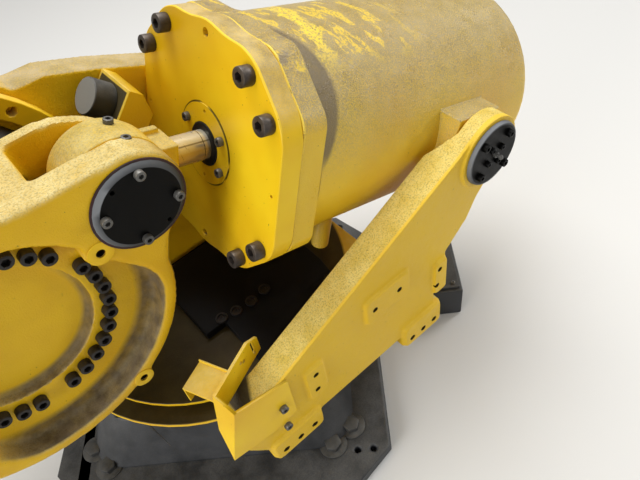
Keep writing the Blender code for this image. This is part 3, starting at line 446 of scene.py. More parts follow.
def modelHexBolt(name, flat, height, washer):
    # hexagon head with its top cut round, on a washer
    head = modelStepped(name, [(flat / math.sqrt(3), 0), (flat / math.sqrt(3), height)], 6, flat * 0.04)
    head.data.transform(Matrix.Translation((0, 0, washer)))
    ring = modelStepped("washer", [(flat * 0.92, 0), (flat * 0.92, washer)], 32, washer * 0.3)
    return joinPieces([head, ring], name)


# Yellow two-part paint over castings and plate: satin, the casting's grain showing through, dry dust
# caught on what faces up, and rubbed places where the yellow shows again
paintBase = {
    "yellow": "#f6cf1e", "deep": "#e8b60c", "dust": "#cdbb86", "darkDust": "#a58f5c",
    "dustFacing": (0.35, 0.95), "dustAmount": 0.8, "rubbed": 0.45, "dotted": 0.3,
    "speckleTone": "#86702c", "speckle": 0.0, "chipTone": "#5d4a20", "specks": 0.55, "specksMm": 5,
    "broadMm": 240, "patchMm": 60, "dustMm": 35, "grainMm": 3.2, "waveMm": 28,
    "grain": 0.5, "grainDepth": 0.0012, "wave": 0.0, "gloss": 0.40, "dustGloss": 0.68, "sheen": 0.3,
}


def castPaint(name, changes, layers=None):
    look = dict(paintBase, **changes)
    material, tree, shader, space = newMaterial(name)
    fine = addNode(tree, "TexNoise", space, 1000 / look["grainMm"], 3.0, 0.65)
    patches = addNode(tree, "TexNoise", space, 1000 / look["patchMm"], 6.0, 0.62)
    wave = addNode(tree, "TexNoise", space, 1000 / look["waveMm"], 2.0, 0.6)
    level = facing(tree, upwards, *look["dustFacing"])
    thin = addNode(tree, "MapRange", patches, 0.32, 0.60, 1 - look["rubbed"], 1.0)
    dots = addNode(tree, "MapRange", fine, 0.36, 0.64, 1 - look["dotted"], 1 + look["dotted"])
    dusty = product(tree, level, thin, dots, look["dustAmount"])
    broad = blotches(tree, space, look["broadMm"], 0.35, 0.65)
    cloudy = blotches(tree, space, look["dustMm"], 0.35, 0.65, detail=4.0)
    yellow = layOver(tree, look["deep"], [(broad, look["yellow"])])
    dust = layOver(tree, look["darkDust"], [(cloudy, look["dust"])])
    speckle = blotches(tree, space, look["grainMm"] * 1.15, 0.48, 0.66, 0, look["speckle"], 2.0)
    chips = blotches(tree, space, look["specksMm"], 0.765, 0.775, 0, look["specks"], 1.0)
    coats = [(dusty, dust), (product(tree, level, speckle), look["speckleTone"])]
    coats += layers(tree, space) if layers else []
    tree.links.new(layOver(tree, yellow, coats + [(chips, look["chipTone"])]), shader.inputs["Base Color"])
    shader.inputs["Specular IOR Level"].default_value = look["sheen"]
    worn = addNode(tree, "MapRange", dusty, 0.0, 1.0, look["gloss"], look["dustGloss"])
    uneven = addNode(tree, "MapRange", patches, 0.3, 0.7, -0.06, 0.06)
    tree.links.new(addNode(tree, "Math", worn, uneven, operation="ADD"), shader.inputs["Roughness"])
    relief = addNode(tree, "Math", product(tree, fine, look["grain"]), product(tree, wave, look["wave"]),
                     operation="ADD")
    tree.links.new(addNode(tree, "Bump", 0.8, look["grainDepth"], None, relief), shader.inputs["Normal"])
    return material


metalBase = {
    "colour": "#808080", "shade": None, "dust": None, "dustAmount": 0.0, "roughness": 0.4, "metallic": 0.0,
    "grainMm": 1.5, "grain": 0.1, "grainDepth": 0.0004, "blotchMm": 45, "sheen": 0.5,
}


def plainFinish(name, changes, layers=None):
    # one finish with a fine grain, its tone and gloss uneven, a little dust on what faces up
    look = dict(metalBase, **changes)
    material, tree, shader, space = newMaterial(name)
    fine = addNode(tree, "TexNoise", space, 1000 / look["grainMm"], 3.0, 0.6)
    blotch = addNode(tree, "TexNoise", space, 1000 / look["blotchMm"], 4.0, 0.6)
    dusty = product(tree, facing(tree, upwards, 0.2, 1.0, 0.0, look["dustAmount"]),
                    addNode(tree, "MapRange", blotch, 0.35, 0.6, 0.35, 1.0),
                    addNode(tree, "MapRange", fine, 0.35, 0.65, 0.6, 1.2))
    coats = [(addNode(tree, "MapRange", blotch, 0.35, 0.65), look["colour"]),
             (dusty, look["dust"] or look["colour"])]
    coats += layers(tree, space) if layers else []
    tree.links.new(layOver(tree, look["shade"] or look["colour"], coats), shader.inputs["Base Color"])
    shader.inputs["Metallic"].default_value = look["metallic"]
    shader.inputs["Specular IOR Level"].default_value = look["sheen"]
    gloss = addNode(tree, "MapRange", blotch, 0.3, 0.7, look["roughness"] * 0.85,
                    min(1.0, look["roughness"] * 1.2))
    tree.links.new(gloss, shader.inputs["Roughness"])
    relief = addNode(tree, "Bump", look["grain"], look["grainDepth"], None, fine)
    tree.links.new(relief, shader.inputs["Normal"])
    return material


# Tapped holes of the castings, cut again where the skin has closed them
padHoles = {
    "spots": ((0.1812, 0.4451), (0.2479, 0.4451), (0.0202, 0.3952), (0.0162, 0.3429), (0.3673, 0.3971),
              (0.3601, 0.3460)),
    "radius": 0.0062, "depth": 0.02, "face": -0.4213,
}
footHoles = {
    "spots": ((-0.0902, 0.2250), (-0.0517, 0.2250), (-0.0133, 0.2250), (0.2809, 0.2250), (0.3162, 0.2250),
              (0.3515, 0.2250)),
    "radius": 0.0074, "depth": 0.022, "face": -0.4233,
}
lugHoles = {
    "spots": ((-0.1753, 0.7902), (-0.2282, 0.4752)), "radius": 0.0075, "depth": 0.035, "face": -0.2393,
}
# Nearly black for the walls of holes: painted shade, with grime
holeShadeTone = "#120d05"
# Near black for hollows between parts: painted shade
hollowShadeTone = "#1a1206"


def shadedHoleWalls(tree, space, holes):
    # mask of the walls of holes that run sideways, painted nearly black: painted shade, with grime
    nearest = 1.0
    for x, z in holes["spots"]:
        radius = radiusAbout(tree, space, (x, 0, z), sideways)
        nearest = addNode(tree, "Math", nearest, radius, operation="MINIMUM")
    return addNode(tree, "MapRange", nearest, holes["radius"] + 0.0003, holes["radius"] + 0.0001, 0, 0.97)


# Each list of layers goes over the dust of one paint: masks with their tones. Places and radii in metres.
hubGrime = {"down": (0.62, 0, -0.78), "face": -0.2385, "outer": (0.206, 0.222),
            "inner": (0.1195, 0.1285, 0.1345, 0.1365), "light": "#6f6250", "dark": "#524534"}


def grimeLayers(tree, space):
    # grey-brown dust in the two steps of the hub's recess, where the wall faces up or back
    radius = radiusAbout(tree, space, hub, sideways)
    lowSide = placeAlong(tree, space, hub, hubGrime["down"])
    depth = placeAlong(tree, space, (0, hubGrime["face"], 0), sideways)
    cloudy = blotches(tree, space, 30, 0.30, 0.62, 0.75, 1.0, 5.0)
    outer = product(tree, addNode(tree, "MapRange", radius, *hubGrime["outer"]),
                    addNode(tree, "MapRange", lowSide, 0.02, 0.13),
                    addNode(tree, "MapRange", depth, 0.001, 0.003), cloudy, 0.95)
    inner = product(tree, band(tree, radius, *hubGrime["inner"]),
                    addNode(tree, "MapRange", lowSide, 0.01, 0.08),
                    addNode(tree, "MapRange", depth, 0.0405, 0.0415), cloudy, 0.85)
    dirtAndShade = layOver(tree, hubGrime["light"], [(blotches(tree, space, 22, 0.4, 0.65), hubGrime["dark"])])
    return [(outer, dirtAndShade), (inner, dirtAndShade)]


# Painted shade deep in the fork's pocket: its bounds and tone
shadedForkPocket = {"aside": (-0.052, -0.048, 0.048, 0.052), "back": (0.0, 0.02, 0.20, 0.22),
              "down": (-0.06, -0.04), "slant": (0.066, 0.074), "fromHub": (0.150, 0.156), "tone": "#0b0906"}


def armLayers(tree, space):
    # painted shade: the fork's pocket is painted black low down, where shade falls
    back = placeAlong(tree, space, rodPin, (-1, 0, 0))
    down = placeAlong(tree, space, rodPin, (0, 0, -1))
    slant = addNode(tree, "Math", back, down, operation="ADD")
    fromHub = radiusAbout(tree, space, hub, sideways)
    pocketShade = product(tree, band(tree, placeAlong(tree, space, rodPin, sideways), *shadedForkPocket["aside"]),
                    band(tree, back, *shadedForkPocket["back"]),
                    addNode(tree, "MapRange", down, *shadedForkPocket["down"]),
                    addNode(tree, "MapRange", slant, *shadedForkPocket["slant"]),
                    addNode(tree, "MapRange", fromHub, *shadedForkPocket["fromHub"]))
    layers = [(pocketShade, shadedForkPocket["tone"]), (shadedHoleWalls(tree, space, lugHoles), holeShadeTone)]
    return grimeLayers(tree, space) + layers


drumMarks = {
    "strokeMm": 40, "strokeTurn": (0, 0, math.radians(14)), "strokeStretch": (0.55, 1.7, 1.0),
    "streakTone": "#ecc93a",
    "wiped": (0.318, 0.326, 0.346, 0.356), "wipedTone": "#f8d840", "patchTone": "#8a7a60",
    "smearStart": (0.262, 0.2645), "smearEnd": (0.080, 0.071), "smearTone": "#6b5c42",
    "seam": (0.2150, 0.2155, 0.2200, 0.2208), "seamTone": "#f6d548",
}


def drumLayers(tree, space):
    # housing and cylinder: rubbed streaks on top, a grey smear behind the housing, paler where hands wiped it
    along = placeAlong(tree, space, rodPin, cylinderAxis)
    up = placeAlong(tree, space, rodPin, cylinderUp)
    aside = placeAlong(tree, space, rodPin, sideways)
    stretched = addNode(tree, "Mapping", space, None, drumMarks["strokeTurn"], drumMarks["strokeStretch"],
                        vector_type="TEXTURE")
    strokes = blotches(tree, stretched, drumMarks["strokeMm"], 0.57, 0.605, roughness=0.55)
    broken = blotches(tree, space, 4.0, 0.38, 0.52, 0.1, 1.0, 2.0)
    streaks = product(tree, strokes, broken, addNode(tree, "MapRange", up, 0.150, 0.172),
                      band(tree, along, 0.178, 0.20, 0.48, 0.58), 0.9)
    ragged = addNode(tree, "Math", along, blotches(tree, space, 30, 0.3, 0.7, -0.016, 0.016, 5.0, 0.7),
                     operation="ADD")
    wiped = product(tree, band(tree, ragged, *drumMarks["wiped"]),
                    addNode(tree, "MapRange", up, 0.150, 0.185),
                    addNode(tree, "MapRange", aside, 0.07, 0.03), broken, 0.95)
    diagonal = placeAlong(tree, space, rodPin, cylinderUp - sideways)
    curved = addNode(tree, "Math", along, product(tree, diagonal, 1.2), operation="SUBTRACT")
    smear = product(tree, addNode(tree, "MapRange", along, *drumMarks["smearStart"]),
                    addNode(tree, "MapRange", curved, *drumMarks["smearEnd"]),
                    addNode(tree, "MapRange", diagonal, 0.155, 0.175), 0.85)
    seam = product(tree, band(tree, along, *drumMarks["seam"]), addNode(tree, "MapRange", up, 0.02, 0.08),
                   blotches(tree, space, 12, 0.36, 0.44, detail=2.0))
    patch = product(tree, blotches(tree, space, 34, 0.56, 0.61, 0.0, 1.0, 5.0, 0.7),
                    addNode(tree, "MapRange", up, 0.165, 0.185),
                    addNode(tree, "MapRange", along, 0.30, 0.27), 0.8)
    return [(patch, drumMarks["patchTone"]), (streaks, drumMarks["streakTone"]),
            (wiped, drumMarks["wipedTone"]), (smear, drumMarks["smearTone"]), (seam, drumMarks["seamTone"])]


sideMarks = {"nose": (-0.0949, -0.3678, 0.48), "noseAhead": (-0.876, 0.484, 0), "noseFoot": (0.395, 0.405),
             "padFace": (0, -0.4065, 0), "padTone": "#edc32a"}


def sideLayers(tree, space):
    # painted shade: the near plate's nose is painted black where the bracket covers it, its pads stay cleaner
    # than its face
    ahead = placeAlong(tree, space, sideMarks["nose"], sideMarks["noseAhead"])
    height = placeAlong(tree, space, (0, 0, 0), upwards)
    shadedNose = product(tree, addNode(tree, "MapRange", ahead, -0.006, 0.002),
                      addNode(tree, "MapRange", height, *sideMarks["noseFoot"]),
                      facing(tree, upwards, 0.2, 0.4), 0.95)
    proud = placeAlong(tree, space, sideMarks["padFace"], nearSide)
    return [(addNode(tree, "MapRange", proud, 0.0, 0.002, 0, 0.8), sideMarks["padTone"]), (shadedNose, hollowShadeTone),
            (shadedHoleWalls(tree, space, padHoles), holeShadeTone), (shadedHoleWalls(tree, space, footHoles), holeShadeTone)]


# The front plate's clean rim, and the painted shadow line round the gland
plateMarks = {"rim": (0.1806, 0.1798), "rimTone": "#f3cc38", "glandShadowMm": 50, "glandShadowTone": "#3b2c0c",
              "gland": (0.0719, 0.0727, 0.0749, 0.0759)}


def plateLayers(tree, space):
    # the front plate's rim keeps a clean line, and a painted shadow line runs round the gland, broken in
    # places
    along = placeAlong(tree, space, rodPin, cylinderAxis)
    rim = product(tree, addNode(tree, "MapRange", along, *plateMarks["rim"]),
                  facing(tree, upwards, 0.33, 0.42))
    dirtAndShade = product(tree, band(tree, radiusAbout(tree, space, rodPin, cylinderAxis), *plateMarks["gland"]),
                   blotches(tree, space, plateMarks["glandShadowMm"], 0.38, 0.50, detail=2.0), 0.85)
    return [(rim, plateMarks["rimTone"]), (dirtAndShade, plateMarks["glandShadowTone"])]


def sheetLayers(tree, space):
    # painted shade: the pocket between the bracket and the side plate's nose is painted black on its lower
    # walls
    height = placeAlong(tree, space, (0, 0, 0), upwards)
    shadedPocket = product(tree, facing(tree, (0.5, 0.86, 0), 0.2, 0.6),
                     addNode(tree, "MapRange", height, 0.486, 0.450), 0.95)
    return [(shadedPocket, hollowShadeTone)]


def tableShadeLayers(tree, space):
    # painted shade with oil and dirt: the turret table's top is painted nearly black inside its outer edge,
    # which stays yellow
    inside = addNode(tree, "MapRange", radiusAbout(tree, space, (0, 0, 0), upwards), 0.352, 0.346)
    dirtAndShade = layOver(tree, "#171208", [(blotches(tree, space, 40, 0.35, 0.65, detail=5.0), "#2c2411")])
    return [(product(tree, facing(tree, upwards, 0.3, 0.7), inside, 0.96), dirtAndShade)]


capSheenRims = ((rodPin, (0.0640, 0.0648, 0.0745, 0.0760), "#8b8e92"),
           (trunnion, (0.0610, 0.0618, 0.0690, 0.0700), "#7b7e82"))


def capSheenLayers(tree, space):
    # painted sheen: the chamfers of the caps are painted grey, most on their upper side where the light falls
    sheenSide = facing(tree, (-0.6, 0, 0.8), -0.3, 0.7, 0.15, 1.0)
    return [(product(tree, band(tree, radiusAbout(tree, space, centre, sideways), *rim), sheenSide), tone)
            for centre, rim, tone in capSheenRims]


stopSeat = {"middle": (-0.0070, 0.0265, 0.8330), "faces": (-0.707, 0, 0.707), "down": (0.707, 0, 0.707),
            "halfWidth": 0.0475, "halfHeight": 0.0370, "edge": 0.0015, "faceTone": "#80807c",
            "seatShadeTone": "#2b2a26"}


def stopLayers(tree, space):
    # the stop's face is rubbed grey
    return [(product(tree, facing(tree, stopSeat["faces"], 0.90, 0.97), 0.9), stopSeat["faceTone"])]


def blockLayers(tree, space):
    # painted shade: the block is painted dark in a square round the stop where it sits, inside a yellow rim
    seatShade = facing(tree, stopSeat["faces"], 0.90, 0.97)
    for direction, half in ((sideways, stopSeat["halfWidth"]), (stopSeat["down"], stopSeat["halfHeight"])):
        place = placeAlong(tree, space, stopSeat["middle"], direction)
        distance = addNode(tree, "Math", place, operation="ABSOLUTE")
        seatShade = product(tree, seatShade, addNode(tree, "MapRange", distance, half, half - stopSeat["edge"]))
    return [(product(tree, seatShade, 0.95), stopSeat["seatShadeTone"])]


rodMarks = {"down": (-0.314, 0, -0.95), "reflectedPlateTone": "#b08a30", "streakTone": "#5c4718",
            "scoreTone": "#3a2e14", "ring": (0.1600, 0.1604, 0.1612, 0.1616), "ringTone": "#2c2210"}


def rodLayers(tree, space):
    # score marks and a thin ring from the wiper; painted reflection: the underside is painted with the yellow
    # plate's reflection and a dark reflected line
    along = placeAlong(tree, space, rodPin, cylinderAxis)
    stretched = addNode(tree, "Mapping", space, None, None, (0.25, 3.0, 3.0), vector_type="TEXTURE")
    scores = product(tree, blotches(tree, stretched, 10, 0.66, 0.70, detail=2.0),
                     addNode(tree, "MapRange", along, 0.095, 0.11), 0.75)
    reflectedLine = product(tree, facing(tree, rodMarks["down"], -0.74, -0.71),
                     facing(tree, rodMarks["down"], -0.64, -0.67), 0.7)
    return [(facing(tree, rodMarks["down"], -0.85, -0.25, 0, 0.85), rodMarks["reflectedPlateTone"]),
            (reflectedLine, rodMarks["streakTone"]),
            (product(tree, band(tree, along, *rodMarks["ring"]), 0.9), rodMarks["ringTone"]),
            (scores, rodMarks["scoreTone"])]


# Sand casting under satin paint: coarse grain, soft waves, pale dust with dark grit on its top
armPaint = castPaint("yellow paint on rough casting", {
    "dustFacing": (0.12, 0.85), "dustAmount": 0.9, "dust": "#ddcd93", "darkDust": "#c5b070", "rubbed": 0.12,
    "yellow": "#eec218", "deep": "#dcaa08", "speckle": 0.5, "grainMm": 2.6, "grain": 1.1,
    "wave": 0.9}, armLayers)
# Round end of the rod: the same paint, dust all over its top
eyePaint = castPaint("yellow paint on rod end", {
    "dustFacing": (0.10, 0.80), "dustAmount": 0.9, "dust": "#cbb97a", "darkDust": "#b39d55", "rubbed": 0.10,
    "speckle": 0.3, "grain": 0.9})
# Milled plate under paint: hardly any grain, brown dust only on the rims
platePaint = castPaint("yellow paint on machined plate", {
    "dustFacing": (0.34, 0.80), "dustAmount": 0.95, "dust": "#c0ac7c", "darkDust": "#9b875c", "rubbed": 0.35,
    "grain": 0.12, "grainMm": 1.8, "patchMm": 46, "specks": 0.75}, plateLayers)
# Rolled tube: fine orange-peel, a thick even coat of grey-brown dust that still shines
drumPaint = castPaint("yellow paint on rolled cylinder", {
    "dustFacing": (-0.15, 0.80), "dustAmount": 0.95, "dust": "#a8966c", "darkDust": "#988555", "rubbed": 0.04,
    "dotted": 0.5, "grain": 1.3, "grainMm": 2.3, "gloss": 0.32, "dustGloss": 0.30, "sheen": 0.5}, drumLayers)
# Side plates: lumpy casting, gritty pale dust along their top edge; their yellow a little darker than the
# balancer's, partly painted shade and partly grime
sidePaint = castPaint("yellow paint on side plates", {
    "dustFacing": (0.30, 0.80), "dustAmount": 0.72, "dust": "#eadb8c", "darkDust": "#d3be62", "speckle": 0.5,
    "yellow": "#ecc016", "deep": "#d9a706", "rubbed": 0.1, "grain": 1.5, "grainMm": 2.4,
    "wave": 1.8}, sideLayers)
stopPaint = castPaint("yellow paint on stop block", {
    "dustAmount": 0.6, "dust": "#dcc992", "grain": 0.8}, blockLayers)
farPaint = castPaint("dusty yellow paint on far side plate", {
    "dustFacing": (0.35, 0.85), "dustAmount": 1.0, "dust": "#b9a67e", "darkDust": "#a5915f", "dotted": 0.25,
    "rubbed": 0.08, "grain": 1.5, "wave": 1.6})
# Bent sheet: smooth, thin paint, light dust on what lies flat
sheetPaint = castPaint("yellow paint on bent sheet", {
    "dustFacing": (0.45, 0.95), "dustAmount": 0.6, "dust": "#e2cf92", "darkDust": "#c0a766", "rubbed": 0.5,
    "grain": 0.15, "grainMm": 2.0}, sheetLayers)
# Turret table: gear oil and dirt with painted shade, nearly black and matt
tablePaint = castPaint("oily yellow paint on turret table with painted shade", {"dustAmount": 0.4}, tableShadeLayers)

# Blackened screws: brownish black steel, low shine, the heads dusted
blackOxide = plainFinish("black oxide on screws", {
    "colour": "#4b4440", "shade": "#332e2b", "roughness": 0.42, "metallic": 0.45, "dust": "#8a7d70",
    "dustAmount": 0.5, "grain": 0.15, "blotchMm": 18})
hubOxide = plainFinish("dark oxide on hub screws", {
    "colour": "#262220", "shade": "#1a1715", "roughness": 0.5, "metallic": 0.2, "dust": "#463d33",
    "dustAmount": 0.4, "blotchMm": 18})
greyOxide = plainFinish("grey worn oxide on cap screws", {
    "colour": "#6a6966", "shade": "#4a4947", "roughness": 0.4, "metallic": 0.5, "dust": "#8f8c86",
    "dustAmount": 0.5})
# Plated bolts gone dull: mid grey, blotched
boltGrey = plainFinish("dull zinc on foot bolts", {
    "colour": "#5c5c5a", "shade": "#3c3c3b", "roughness": 0.45, "metallic": 0.4, "dust": "#6f6c66",
    "dustAmount": 0.4})
# Lacquered caps: deep black, quiet shine, a painted grey sheen on the caps' chamfers
capBlack = plainFinish("black lacquer on steel caps", {
    "colour": "#080807", "shade": "#050505", "roughness": 0.42, "sheen": 0.1, "dust": "#1c1b1a",
    "dustAmount": 0.1, "grain": 0.08}, capSheenLayers)
sealMaroon = plainFinish("maroon sealing compound", {
    "colour": "#3a1518", "shade": "#25100f", "roughness": 0.6})
# Foot and connector box: charcoal paint on rough iron, grey dust
castBlack = plainFinish("black paint on foot casting", {
    "colour": "#34363a", "shade": "#202225", "roughness": 0.52, "dust": "#6d6b66", "dustAmount": 0.45,
    "grainMm": 3.0, "grain": 0.5, "blotchMm": 70})
motorBlack = plainFinish("black enamel on motors", {
    "colour": "#1c1c1e", "shade": "#141415", "roughness": 0.42, "dust": "#5b5852", "dustAmount": 0.5,
    "grain": 0.25})
# Gear cover: black paint, its dust darkened nearly to black for painted shade under the balancer
coverBlack = plainFinish("oily black paint on gear cover with painted shade", {
    "colour": "#101012", "shade": "#08080a", "roughness": 0.55, "sheen": 0.2, "dust": "#1c1a17",
    "dustAmount": 0.3, "grainMm": 3.0, "grain": 0.2})
# Ground and chromed rod: bright and a little warm, the yellow paint round it painted on its underside as a
# reflection
hardChrome = plainFinish("hard chrome on ground rod", {
    "colour": "#f4f1e2", "shade": "#e8e2c8", "roughness": 0.16, "metallic": 0.6, "grain": 0.02}, rodLayers)
# Rubber: matt, grey where it is struck
stopRubber = plainFinish("black stop rubber", {
    "colour": "#35342f", "shade": "#262622", "roughness": 0.66, "dust": "#8b8985", "dustAmount": 0.6,
    "grain": 0.25}, stopLayers)
sealRubber = plainFinish("black seal rubber", {"colour": "#121213", "roughness": 0.5, "sheen": 0.3})
bareSteel = plainFinish("machined bare steel", {
    "colour": "#b0aca3", "shade": "#96928a", "roughness": 0.32, "metallic": 1.0, "grain": 0.08})
plugPlastic = plainFinish("dark plastic on plugs", {"colour": "#1d1e20", "roughness": 0.55, "grain": 0.2})
print("materials ready")

# CAD nodes in their finishes: material, rounding in metres, steps
finishes = {
    "balancer_front_plate": (platePaint, 0.0022, 2), "balancer_housing": (drumPaint, 0.0022, 2),
    "gland_plate": (platePaint, 0.0006, 1), "balancer_cylinder": (drumPaint, 0.003, 2),
    "shoulder_ring": (sheetPaint, 0.0025, 2), "stop_block": (stopPaint, 0.0015, 2),
    "shoulder_motor_flange": (sheetPaint, 0.003, 2), "turret_table": (tablePaint, 0.0025, 2),
    "cable_bracket": (sheetPaint, 0.0015, 2), "cable_guide_box": (sheetPaint, 0.0008, 2),
    "gear_cover": (coverBlack, 0.003, 2), "shoulder_gearbox": (motorBlack, 0.003, 2),
    "shoulder_motor": (motorBlack, 0.004, 2), "swing_motor": (motorBlack, 0.004, 2),
    "foot_plate": (castBlack, 0.006, 3), "foot_body": (castBlack, 0.006, 3),
    "connector_box": (castBlack, 0.005, 3), "connector_lid": (castBlack, 0.0015, 2),
    "rubber_stop": (stopRubber, 0.0015, 2),
    "pin_cap_near": (capBlack, 0.0006, 2), "pin_cap_far": (capBlack, 0.0006, 2),
    "trunnion_cap_near": (capBlack, 0.001, 2), "trunnion_cap_far": (capBlack, 0.001, 2),
    "elbow_cover": (capBlack, 0.001, 2), "elbow_seat_ring": (bareSteel, 0.0015, 2),
    "balancer_rod": (hardChrome, 0.0, 1), "rod_seal": (sealRubber, 0.0006, 2),
    "swing_outer_race": (bareSteel, 0.0, 1), "swing_inner_race": (bareSteel, 0.0, 1),
    "rod_pin": (bareSteel, 0.0, 1), "eye_bearing": (bareSteel, 0.0, 1),
    "trunnion_pin_near": (bareSteel, 0.0, 1), "trunnion_pin_far": (bareSteel, 0.0, 1),
}
# Castings: material, voxel in metres, rounds of smoothing
castings = {
    "lower_arm": (armPaint, 0.0051, 4), "near_side_plate": (sidePaint, 0.0025, 2),
    "far_side_plate": (farPaint, 0.0044, 3), "rod_end": (eyePaint, 0.002, 3),
}
shaped = {}
for node, (material, width, steps) in finishes.items():
    shaped[node] = roundedCopy(node, width, steps)
    paintWith(shaped[node], material)
for node, (material, voxel, rounds) in castings.items():
    shaped[node] = castCopy(node, voxel, rounds)
    paintWith(shaped[node], material)
    print(node, "faces", len(shaped[node].data.polygons))
for node, piece in shaped.items():
    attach(piece, bodyOf(node))
print("CAD nodes dressed:", len(shaped))

for node, holes in (("near_side_plate", padHoles), ("near_side_plate", footHoles), ("lower_arm", lugHoles)):
    drill(shaped[node], [Vector((x, holes["face"], z)) for x, z in holes["spots"]], sideways,
          holes["radius"], holes["depth"])
print("casting holes cut")

# Screws of the balancer, and the smaller one of the caps and the elbow
smallHead = {"head": 0.008, "height": 0.0095, "socket": 0.0043}
plateScrews = {"circle": 0.207, "spread": 10.5, "head": 0.016, "height": 0.0205, "socket": 0.0088,
               "face": 0.177, "tapped": (-0.188, 0.188), "tappedRadius": 0.003, "tappedDepth": 0.012}
places = []
for quarter in range(4):
    for side in (-1, 1):
        angle = math.radians(45 + 90 * quarter + side * plateScrews["spread"])
        spot = onBalancer(plateScrews["face"], plateScrews["circle"] * math.cos(angle),
                          plateScrews["circle"] * math.sin(angle))
        places.append(standing(spot, -cylinderAxis, angle * 3))
placeCopies(modelCapScrew("plate_screw", plateScrews, 28), "front_plate_screws", places, "turret", blackOxide)

glandScrews = {"aside": 0.051, "up": 0.030, "head": 0.008, "height": 0.009, "socket": 0.0042, "face": 0.1754,
               "tapped": (-0.061, 0.061), "tappedRadius": 0.0035, "tappedDepth": 0.012}
places = [standing(onBalancer(glandScrews["face"], a * glandScrews["aside"], b * glandScrews["up"]),
                   -cylinderAxis, a + b) for a, b in squareCorners]
placeCopies(modelCapScrew("gland_screw", glandScrews), "gland_plate_screws", places, "turret", greyOxide)
drill(shaped["gland_plate"], [onBalancer(glandScrews["face"], 0, up) for up in glandScrews["tapped"]],
      cylinderAxis, glandScrews["tappedRadius"], glandScrews["tappedDepth"])
drill(shaped["balancer_front_plate"],
      [onBalancer(plateScrews["face"], aside, 0) for aside in plateScrews["tapped"]],
      cylinderAxis, plateScrews["tappedRadius"], plateScrews["tappedDepth"])
print("balancer screws placed")

# Screws of the arm: the hub's ring with its three gaps, and the caps of rod pin and elbow
hubScrews = {"circle": 0.158, "head": 0.012, "height": 0.016, "socket": 0.0072, "start": 20.2, "step": 10.93,
             "count": 33, "face": -0.199, "gaps": (31.0, -89.0, -209.0), "gapHalf": 4.0}
angles = [hubScrews["start"] - hubScrews["step"] * i for i in range(hubScrews["count"])]
angles = [angle for angle in angles
          if all(abs((angle - gap + 180) % 360 - 180) > hubScrews["gapHalf"] for gap in hubScrews["gaps"])]
placeCopies(modelCapScrew("hub_screw", hubScrews, 24), "hub_screws",
            aroundAxis(hub, hubScrews["circle"], angles, hubScrews["face"]), "turret", hubOxide)

pinCap = {"circle": 0.0576, "start": 74.7, "face": -0.2475, "jackHoles": (119.7, -60.3), "jackRadius": 0.0038,
          "jackDepth": 0.007}
placeCopies(modelCapScrew("cap_screw", smallHead), "pin_cap_screws",
            aroundAxis(rodPin, pinCap["circle"], evenly(pinCap["start"], 4), pinCap["face"]),
            "turret", greyOxide)
places = aroundAxis(rodPin, pinCap["circle"], pinCap["jackHoles"], pinCap["face"])
drill(shaped["pin_cap_near"], [place.translation for place in places], sideways,
      pinCap["jackRadius"], pinCap["jackDepth"])

capSeal = {"inner": 0.068, "outer": 0.0765, "height": 0.0022, "edge": 0.0006, "face": -0.2391}
seal = modelRing("pin_cap_seal", capSeal["inner"], capSeal["outer"], capSeal["height"], capSeal["edge"])
placeCopies(seal, "pin_cap_seal", aroundAxis(rodPin, 0, (0,), capSeal["face"]), "turret", sealMaroon)

# Clean machined faces round the holes of the two lugs
lugFaces = {"names": ("upper", "lower"), "radii": (0.021, 0.019), "hole": 0.0076, "height": 0.0012,
            "edge": 0.0004, "face": -0.2391}
for name, radius, (x, z) in zip(lugFaces["names"], lugFaces["radii"], lugHoles["spots"]):
    face = modelRing("lug", lugFaces["hole"], radius, lugFaces["height"], lugFaces["edge"], 40)
    places = [standing((x, lugFaces["face"], z), nearSide)]
    placeCopies(face, name + "_lug_face", places, "turret", platePaint)

earScrews = {"spots": ((0.033, -0.004, 0.0745), (0.033, -0.055, 0.0685)), "lean": (0.35, 0, 0.94)}
places = [standing(rodPin + Vector(spot), earScrews["lean"]) for spot in earScrews["spots"]]
placeCopies(modelCapScrew("ear_screw", smallHead), "ear_screws", places, "turret", greyOxide)

trunnionCap = {"circle": 0.0487, "start": 38.8, "face": -0.4266, "farFace": 0.1573, "small": 0.021,
               "smallStart": 28.0, "head": 0.0062, "height": 0.008, "socket": 0.0032, "nippleAhead": 0.003}
angles = evenly(trunnionCap["start"], 4)
placeCopies(modelCapScrew("cap_screw", smallHead), "trunnion_cap_screws",
            aroundAxis(trunnion, trunnionCap["circle"], angles, trunnionCap["face"]), "turret", capBlack)
places = aroundAxis(trunnion, trunnionCap["small"], evenly(trunnionCap["smallStart"], 4), trunnionCap["face"])
placeCopies(modelCapScrew("small_cap_screw", trunnionCap), "trunnion_small_screws", places, "turret", capBlack)
nippleSteps = [(0.0062, 0), (0.0062, 0.006), (0.0035, 0.0015), (0.0035, 0.004), (0.0048, 0.0015),
               (0.0048, 0.003), (0.0022, 0.003)]
places = [standing((trunnion.x + trunnionCap["nippleAhead"], trunnionCap["face"], trunnion.z), nearSide)]
placeCopies(modelStepped("grease_nipple", nippleSteps, 20), "trunnion_nipple", places, "turret", greyOxide)

bracketScrews = {"spots": ((0.027, -0.450), (0.023, -0.520)), "face": -0.4193, "spin": 0.4, "head": 0.0085,
                 "height": 0.0095, "socket": 0.0043}
places = [standing((rodPin.x + x, bracketScrews["face"], rodPin.z + z), nearSide, bracketScrews["spin"])
          for x, z in bracketScrews["spots"]]
placeCopies(modelCapScrew("bracket_screw", bracketScrews), "bracket_screws", places, "turret", greyOxide)
print("arm and side plate screws placed")

